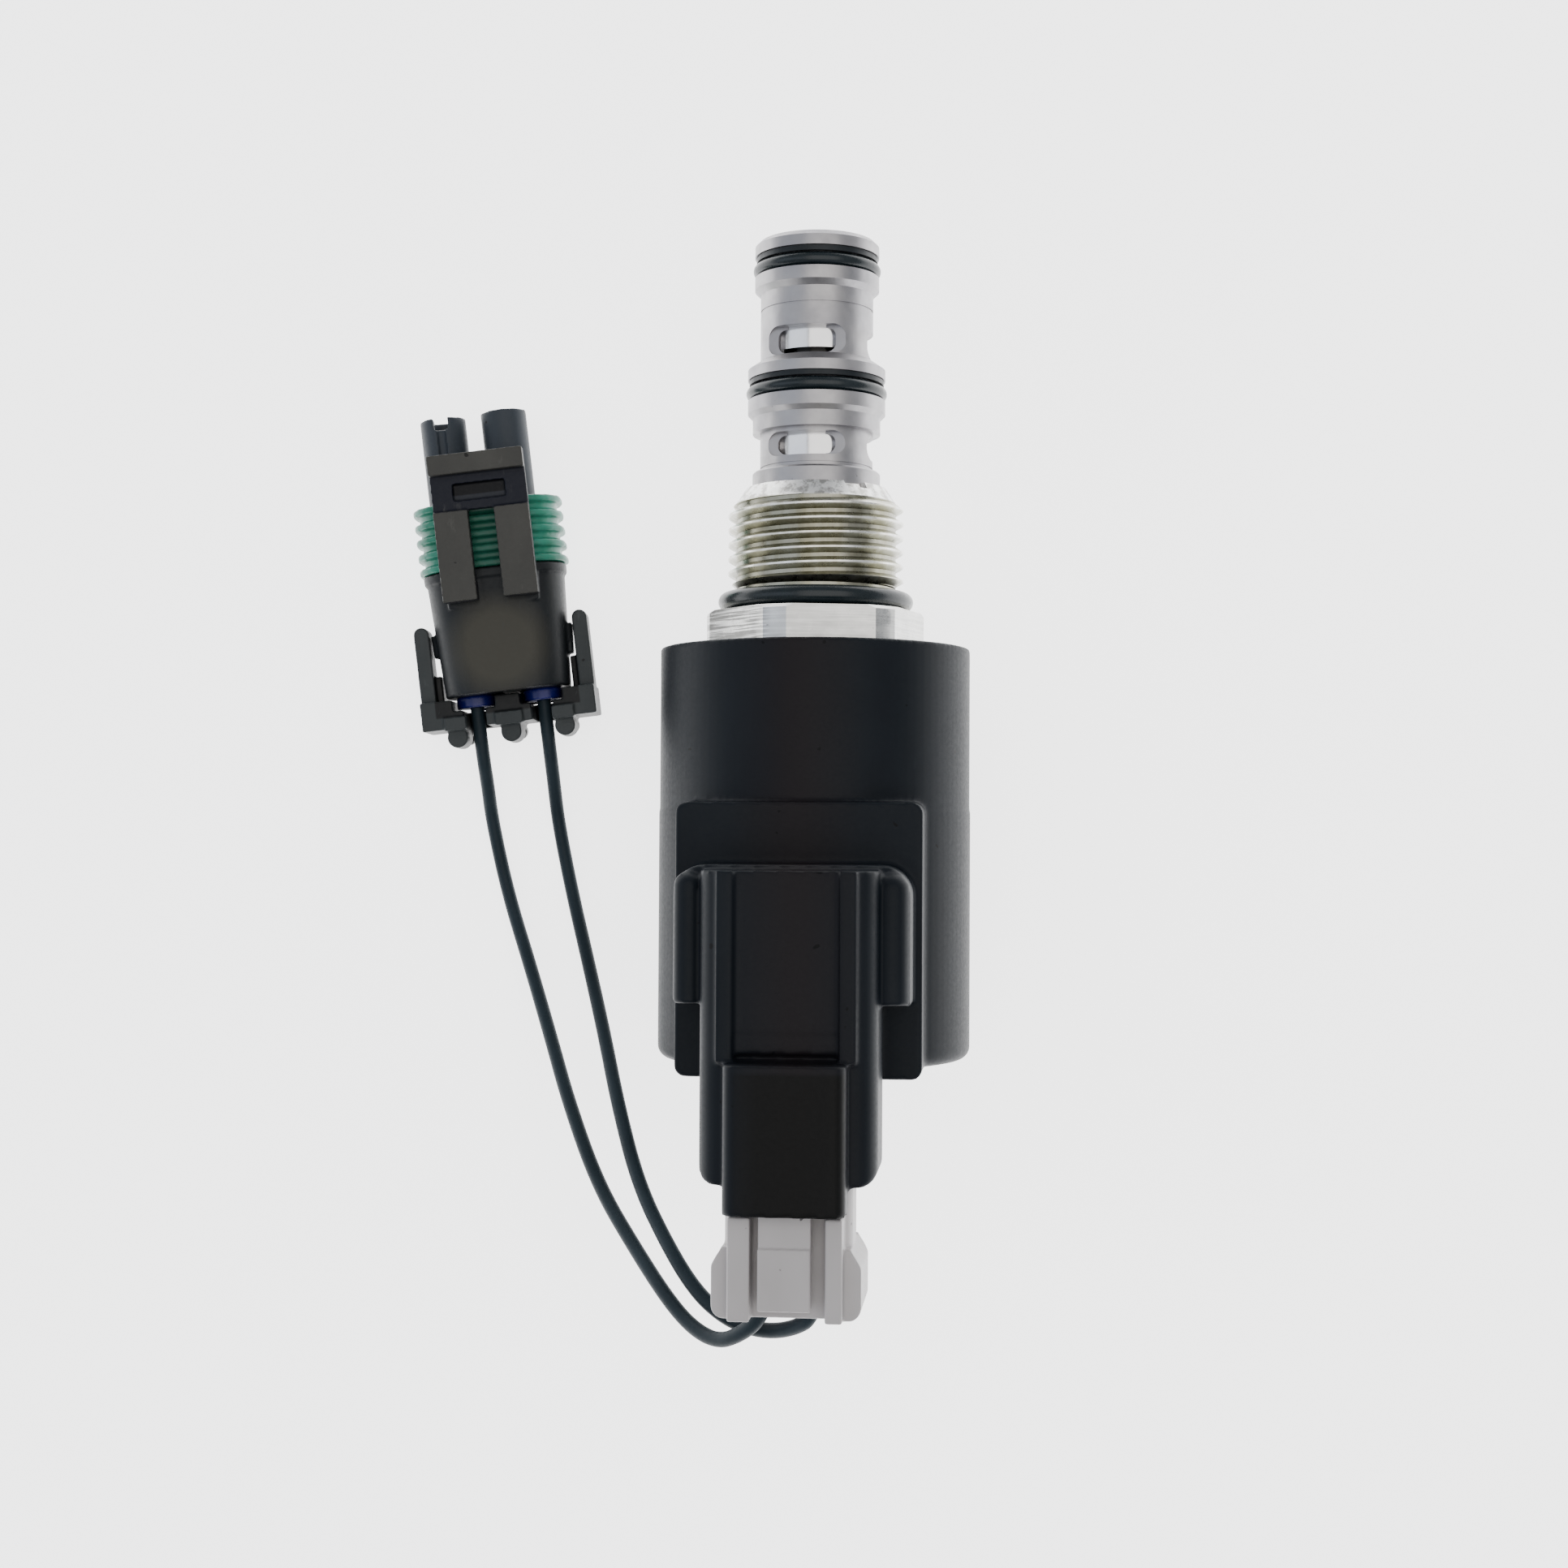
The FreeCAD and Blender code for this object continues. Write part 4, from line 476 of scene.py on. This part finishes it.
MATERIALS = {
    "cage_steel": turned_metal("cage_steel", (0.30, 0.295, 0.31), (0.37, 0.36, 0.365), 0.38,
                               ring_depth=4 * MICRON, specks=0.5).material,
    "spool_steel": spool_metal(),
    "zinc_steel": plated_metal(),
    "core_steel": turned_metal("core_steel", (0.36, 0.36, 0.37), (0.48, 0.48, 0.47), 0.3).material,
    "spring_steel": turned_metal("spring_steel", (0.25, 0.25, 0.26), (0.36, 0.36, 0.36),
                                 0.3).material,
    "tinned_brass": turned_metal("tinned_brass", (0.62, 0.58, 0.48), (0.72, 0.69, 0.62),
                                 0.25).material,
    "copper_wire": turned_metal("copper_wire", (0.55, 0.22, 0.09), (0.72, 0.33, 0.15), 0.3,
                                ring_depth=30 * MICRON, ring_scale=3000.0).material,
    "black_rubber": rubber("black_rubber", (0.004, 0.0085, 0.011), (0.008, 0.014, 0.018), 0.27),
    "backup_polymer": rubber("backup_polymer", (0.006, 0.009, 0.012), (0.010, 0.014, 0.017),
                             0.4, specular=0.25),
    "coil_plastic": plastic("coil_plastic", (0.0044, 0.0065, 0.0094), (0.0068, 0.0094, 0.0132),
                            0.45, specular=0.11, scuffs=0.08, zones=coil_zones),
    "bobbin_plastic": plastic("bobbin_plastic", (0.55, 0.52, 0.42), (0.65, 0.62, 0.52), 0.45),
    "grey_plastic": plastic("grey_plastic", (0.37, 0.352, 0.352), (0.43, 0.412, 0.414), 0.42,
                            specular=0.3, scuffs=0.08),
    "orange_plastic": plastic("orange_plastic", (0.75, 0.22, 0.03), (0.85, 0.28, 0.05), 0.4),
    "wire_insulation": plastic("wire_insulation", (0.010, 0.018, 0.024), (0.017, 0.028, 0.036),
                               0.5, grain=2400.0, specular=0.15, scuffs=0.2),
    "tower_plastic": plastic("tower_plastic", (0.0085, 0.0105, 0.0125), (0.013, 0.015, 0.017),
                             0.45, specular=0.2, scuffs=0.25, zones=shell_zones),
    "green_rubber": rubber("green_rubber", (0.013, 0.14, 0.088), (0.030, 0.22, 0.155), 0.34,
                           specular=0.3, subsurface=0.12, zones=seal_zones),
    "blue_rubber": rubber("blue_rubber", (0.002, 0.003, 0.06), (0.004, 0.006, 0.11), 0.3),
}
ARM_PLASTIC = plastic("tower_arm_plastic", (0.036, 0.036, 0.033), (0.053, 0.052, 0.047), 0.5,
                      grain=2600.0, grain_depth=14 * MICRON, specular=0.2, scuffs=0.25,
                      zones=arm_zones)
LOCK_PLASTIC = plastic("secondary_lock_plastic", (0.024, 0.0285, 0.030), (0.036, 0.041, 0.042),
                       0.45, specular=0.2, scuffs=0.3, zones=lock_zones)

for node, piece in nodes.items():
    paint(piece, MATERIALS[SLOT_OF[node]])
for wire, path in wires:
    paint(wire, MATERIALS["wire_insulation"])


# ---- moulded parts ---------------------------------------------------------------------------

def capsule(radius, front, rear, across, height):
    """A rod with a ball at its front, along the coil's length, in the coil's millimetres."""
    form = bmesh.new()
    middle = (front + rear) / 2
    lengthwise = Matrix.Rotation(math.radians(90), 4, "X")
    bmesh.ops.create_cone(form, cap_ends=True, segments=32, radius1=radius, radius2=radius,
                          depth=front - rear,
                          matrix=Matrix.Translation((across, middle, height)) @ lengthwise)
    bmesh.ops.create_uvsphere(form, u_segments=32, v_segments=16, radius=radius,
                              matrix=Matrix.Translation((across, front, height)))
    form.transform(Matrix.Scale(MM, 4))
    form.transform(COIL_FRAME)
    return form


def brick(low, high, turn=COIL_FRAME):
    """A box between two corners, in millimetres in a tilted frame."""
    form = bmesh.new()
    low, high = Vector(low), Vector(high)
    bmesh.ops.create_cube(form, size=1.0,
                          matrix=Matrix.Translation((low + high) / 2)
                          @ Matrix.Diagonal((*(high - low), 1.0)))
    form.transform(Matrix.Scale(MM, 4))
    form.transform(turn)
    return form


def coil_extras():
    """The rounded shoulders beside the receptacle, and the filled front of its sunk panel."""
    return [capsule(1.75, -34.0, -47.3, -11.8, 28.6), capsule(2.15, -34.4, -47.3, 11.35, 28.3),
            brick((-5.9, -52.6, 31.0), (5.9, -50.0, 33.5))]


def pillar(radius, across, along, low, high):
    """An upright rod in the tower connector's frame, in millimetres."""
    form = bmesh.new()
    bmesh.ops.create_cone(form, cap_ends=True, segments=32, radius1=radius, radius2=radius,
                          depth=high - low,
                          matrix=Matrix.Translation((across, along, (low + high) / 2)))
    form.transform(Matrix.Scale(MM, 4))
    form.transform(TOWER_FRAME)
    return form


def lock_extras():
    """The secondary lock's low inner walls, put in the dark gap between its arms and the shell and
    coloured near black by the lock's painted shade, and the heads and round lobes of its hinge
    straps.
    """
    # low walls in the gap beside the shell, which the lock's painted shade colours near black
    forms = [brick((-9.7, -1.2, 1.6), (-8.6, 5.9, 7.0), TOWER_FRAME),
             brick((8.6, -1.2, 1.6), (9.7, 6.6, 7.0), TOWER_FRAME)]
    for across in (-HINGE_SPACING, 0.0, HINGE_SPACING):
        forms.append(pillar(1.35, across, -2.55, 4.0, 9.1))
        half = 1.8 if across == 0 else 1.45
        forms.append(brick((across - half, -1.6, 8.5), (across + half, 0.1, 10.2), TOWER_FRAME))
    return forms


def shell_extras():
    """The catches beside the shell, and the lips of its lower wall under the cable seals."""
    forms = [brick((-9.8, 8.3, 5.2), (-7.0, 11.3, 7.4), TOWER_FRAME),
             brick((7.0, 7.0, 5.2), (9.8, 11.0, 7.4), TOWER_FRAME)]
    for middle in (-CABLE_SPACING_HALF, CABLE_SPACING_HALF):
        forms.append(brick((middle - CABLE_LIP_RADIUS, 1.05, 2.0),
                           (middle + CABLE_LIP_RADIUS, 3.6, 3.0), TOWER_FRAME))
    return forms


def bend_plug(spot):
    """The plug's hood slopes out from its body at the front."""
    across = abs(spot.x) / MM
    body, slope_start, slope_end = 7.3, -76.3, -74.0
    share = min(1.0, max(0.0, (spot.y / MM - slope_start) / (slope_end - slope_start)))
    if across > body:
        spot.x = math.copysign((body + (across - body) * (1 - share)) * MM, spot.x)


def bend_shell(spot):
    """The connector's shell narrows a little towards its rear, most of all at its sides."""
    front, rear, narrowing, side_start = 18.9, 2.7, 0.9, 6
    share = min(1.0, max(0.0, (front - spot.y / MM) / (front - rear)))
    if spot.y / MM < front:
        aside = min(1.0, abs(spot.x) / MM / side_start)
        spot.x -= math.copysign(narrowing * MM * share * aside, spot.x)


def settled(piece):
    """Turn a piece's modifiers into its mesh, and give that mesh."""
    bpy.context.view_layer.update()
    graph = bpy.context.evaluated_depsgraph_get()
    finished = bpy.data.meshes.new_from_object(piece.evaluated_get(graph))
    piece.modifiers.clear()
    before = piece.data
    piece.data = finished
    bpy.data.meshes.remove(before)
    return finished


def moulded(node, material, voxel, smoothing, extras=(), bend=None, turn=None):
    """A copy of a CAD part, with any extra forms joined on, and a moulding's soft edges.

    voxel is the remeshed skin's cell in millimetres, and smoothing the number of passes over it.
    """
    mesh = nodes[node].data.copy()
    form = bmesh.new()
    form.from_mesh(mesh)
    for extra in extras:
        added = bpy.data.meshes.new("extra")
        extra.to_mesh(added)
        form.from_mesh(added)
        bpy.data.meshes.remove(added)
    form.to_mesh(mesh)
    piece = add_object(node + "_moulding", mesh)
    remesh = piece.modifiers.new("remesh", "REMESH")
    remesh.mode = "VOXEL"
    remesh.voxel_size = voxel * MM
    remesh.adaptivity = 0.0
    skin = settled(piece)
    if bend:
        back = turn.inverted()
        for vertex in skin.vertices:
            spot = back @ vertex.co
            bend(spot)
            vertex.co = turn @ spot
    smooth = piece.modifiers.new("smooth", "SMOOTH")
    smooth.factor = 0.5
    smooth.iterations = smoothing
    settled(piece).shade_smooth()
    paint(piece, material)
    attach(piece, BODY_OF[node])
    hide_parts(node)
    return piece


moulded("coil_housing", MATERIALS["coil_plastic"], voxel=0.3, smoothing=4,
        extras=coil_extras())
moulded("plug_housing", MATERIALS["grey_plastic"], voxel=0.16, smoothing=8,
        bend=bend_plug, turn=COIL_FRAME)
moulded("plug_latch", MATERIALS["grey_plastic"], voxel=0.14, smoothing=4)
connector = [
    nodes["tower_terminals"],
    moulded("tower_housing", MATERIALS["tower_plastic"], voxel=0.18, smoothing=4,
            extras=shell_extras(), bend=bend_shell, turn=TOWER_FRAME),
    moulded("tower_seal", MATERIALS["green_rubber"], voxel=0.16, smoothing=26),
    moulded("cable_seals", MATERIALS["blue_rubber"], voxel=0.12, smoothing=12),
    moulded("tower_lock_arm", ARM_PLASTIC, voxel=0.15, smoothing=3),
    moulded("secondary_lock", LOCK_PLASTIC, voxel=0.15, smoothing=5, extras=lock_extras()),
]


# ---- floor and light -------------------------------------------------------------------------

FLOOR_HALF = 3.0
FLOOR_GLOW = 2.8      # a paper lit from behind, so that it stays pale under the soft light


def make_floor():
    """A pale sheet of paper under the part."""
    low = CAD_BOX[0].z
    half = FLOOR_HALF
    mesh = bpy.data.meshes.new("floor")
    mesh.from_pydata([(-half, -half, low), (half, -half, low), (half, half, low),
                      (-half, half, low)], [], [(0, 1, 2, 3)])
    floor = add_object("floor", mesh)
    made = Shader("floor_paper", roughness=0.9, specular=0.1)
    made.colour(made.ramp(made.noise(30.0), (0.3, 0.90), (0.7, 0.94)))
    made.set("Emission Color", (1.0, 1.0, 1.0, 1.0))
    made.set("Emission Strength", FLOOR_GLOW)
    paint(floor, made.material)


def soft_box(name, spot, target, width, height, radiance, colour):
    """A rectangular light of a given brightness that faces a target."""
    data = bpy.data.lights.new(name, "AREA")
    data.shape = "RECTANGLE"
    data.size = width
    data.size_y = height
    data.energy = radiance * math.pi * width * height
    data.color = colour
    light = add_object(name, data)
    light.location = spot
    light.rotation_euler = (Vector(target) - Vector(spot)).to_track_quat("-Z", "Y").to_euler()


def make_light():
    """A dim studio room, a warm soft box overhead and a cool one to the left."""
    world = bpy.data.worlds.new("studio")
    world.use_nodes = True
    background = world.node_tree.nodes["Background"]
    background.inputs["Color"].default_value = (0.92, 0.95, 1.0, 1.0)
    background.inputs["Strength"].default_value = 0.5
    bpy.context.scene.world = world
    soft_box("warm_box", (0.22, 0.0, 0.95), (0.22, 0.0, 0.0), width=1.16, height=1.3,
             radiance=1.55, colour=(1.0, 0.965, 0.92))
    soft_box("cool_box", (-0.95, 0.0, 0.75), (-0.1, 0.0, 0.0), width=0.8, height=1.2,
             radiance=1.0, colour=(0.80, 0.87, 1.0))


make_floor()
make_light()
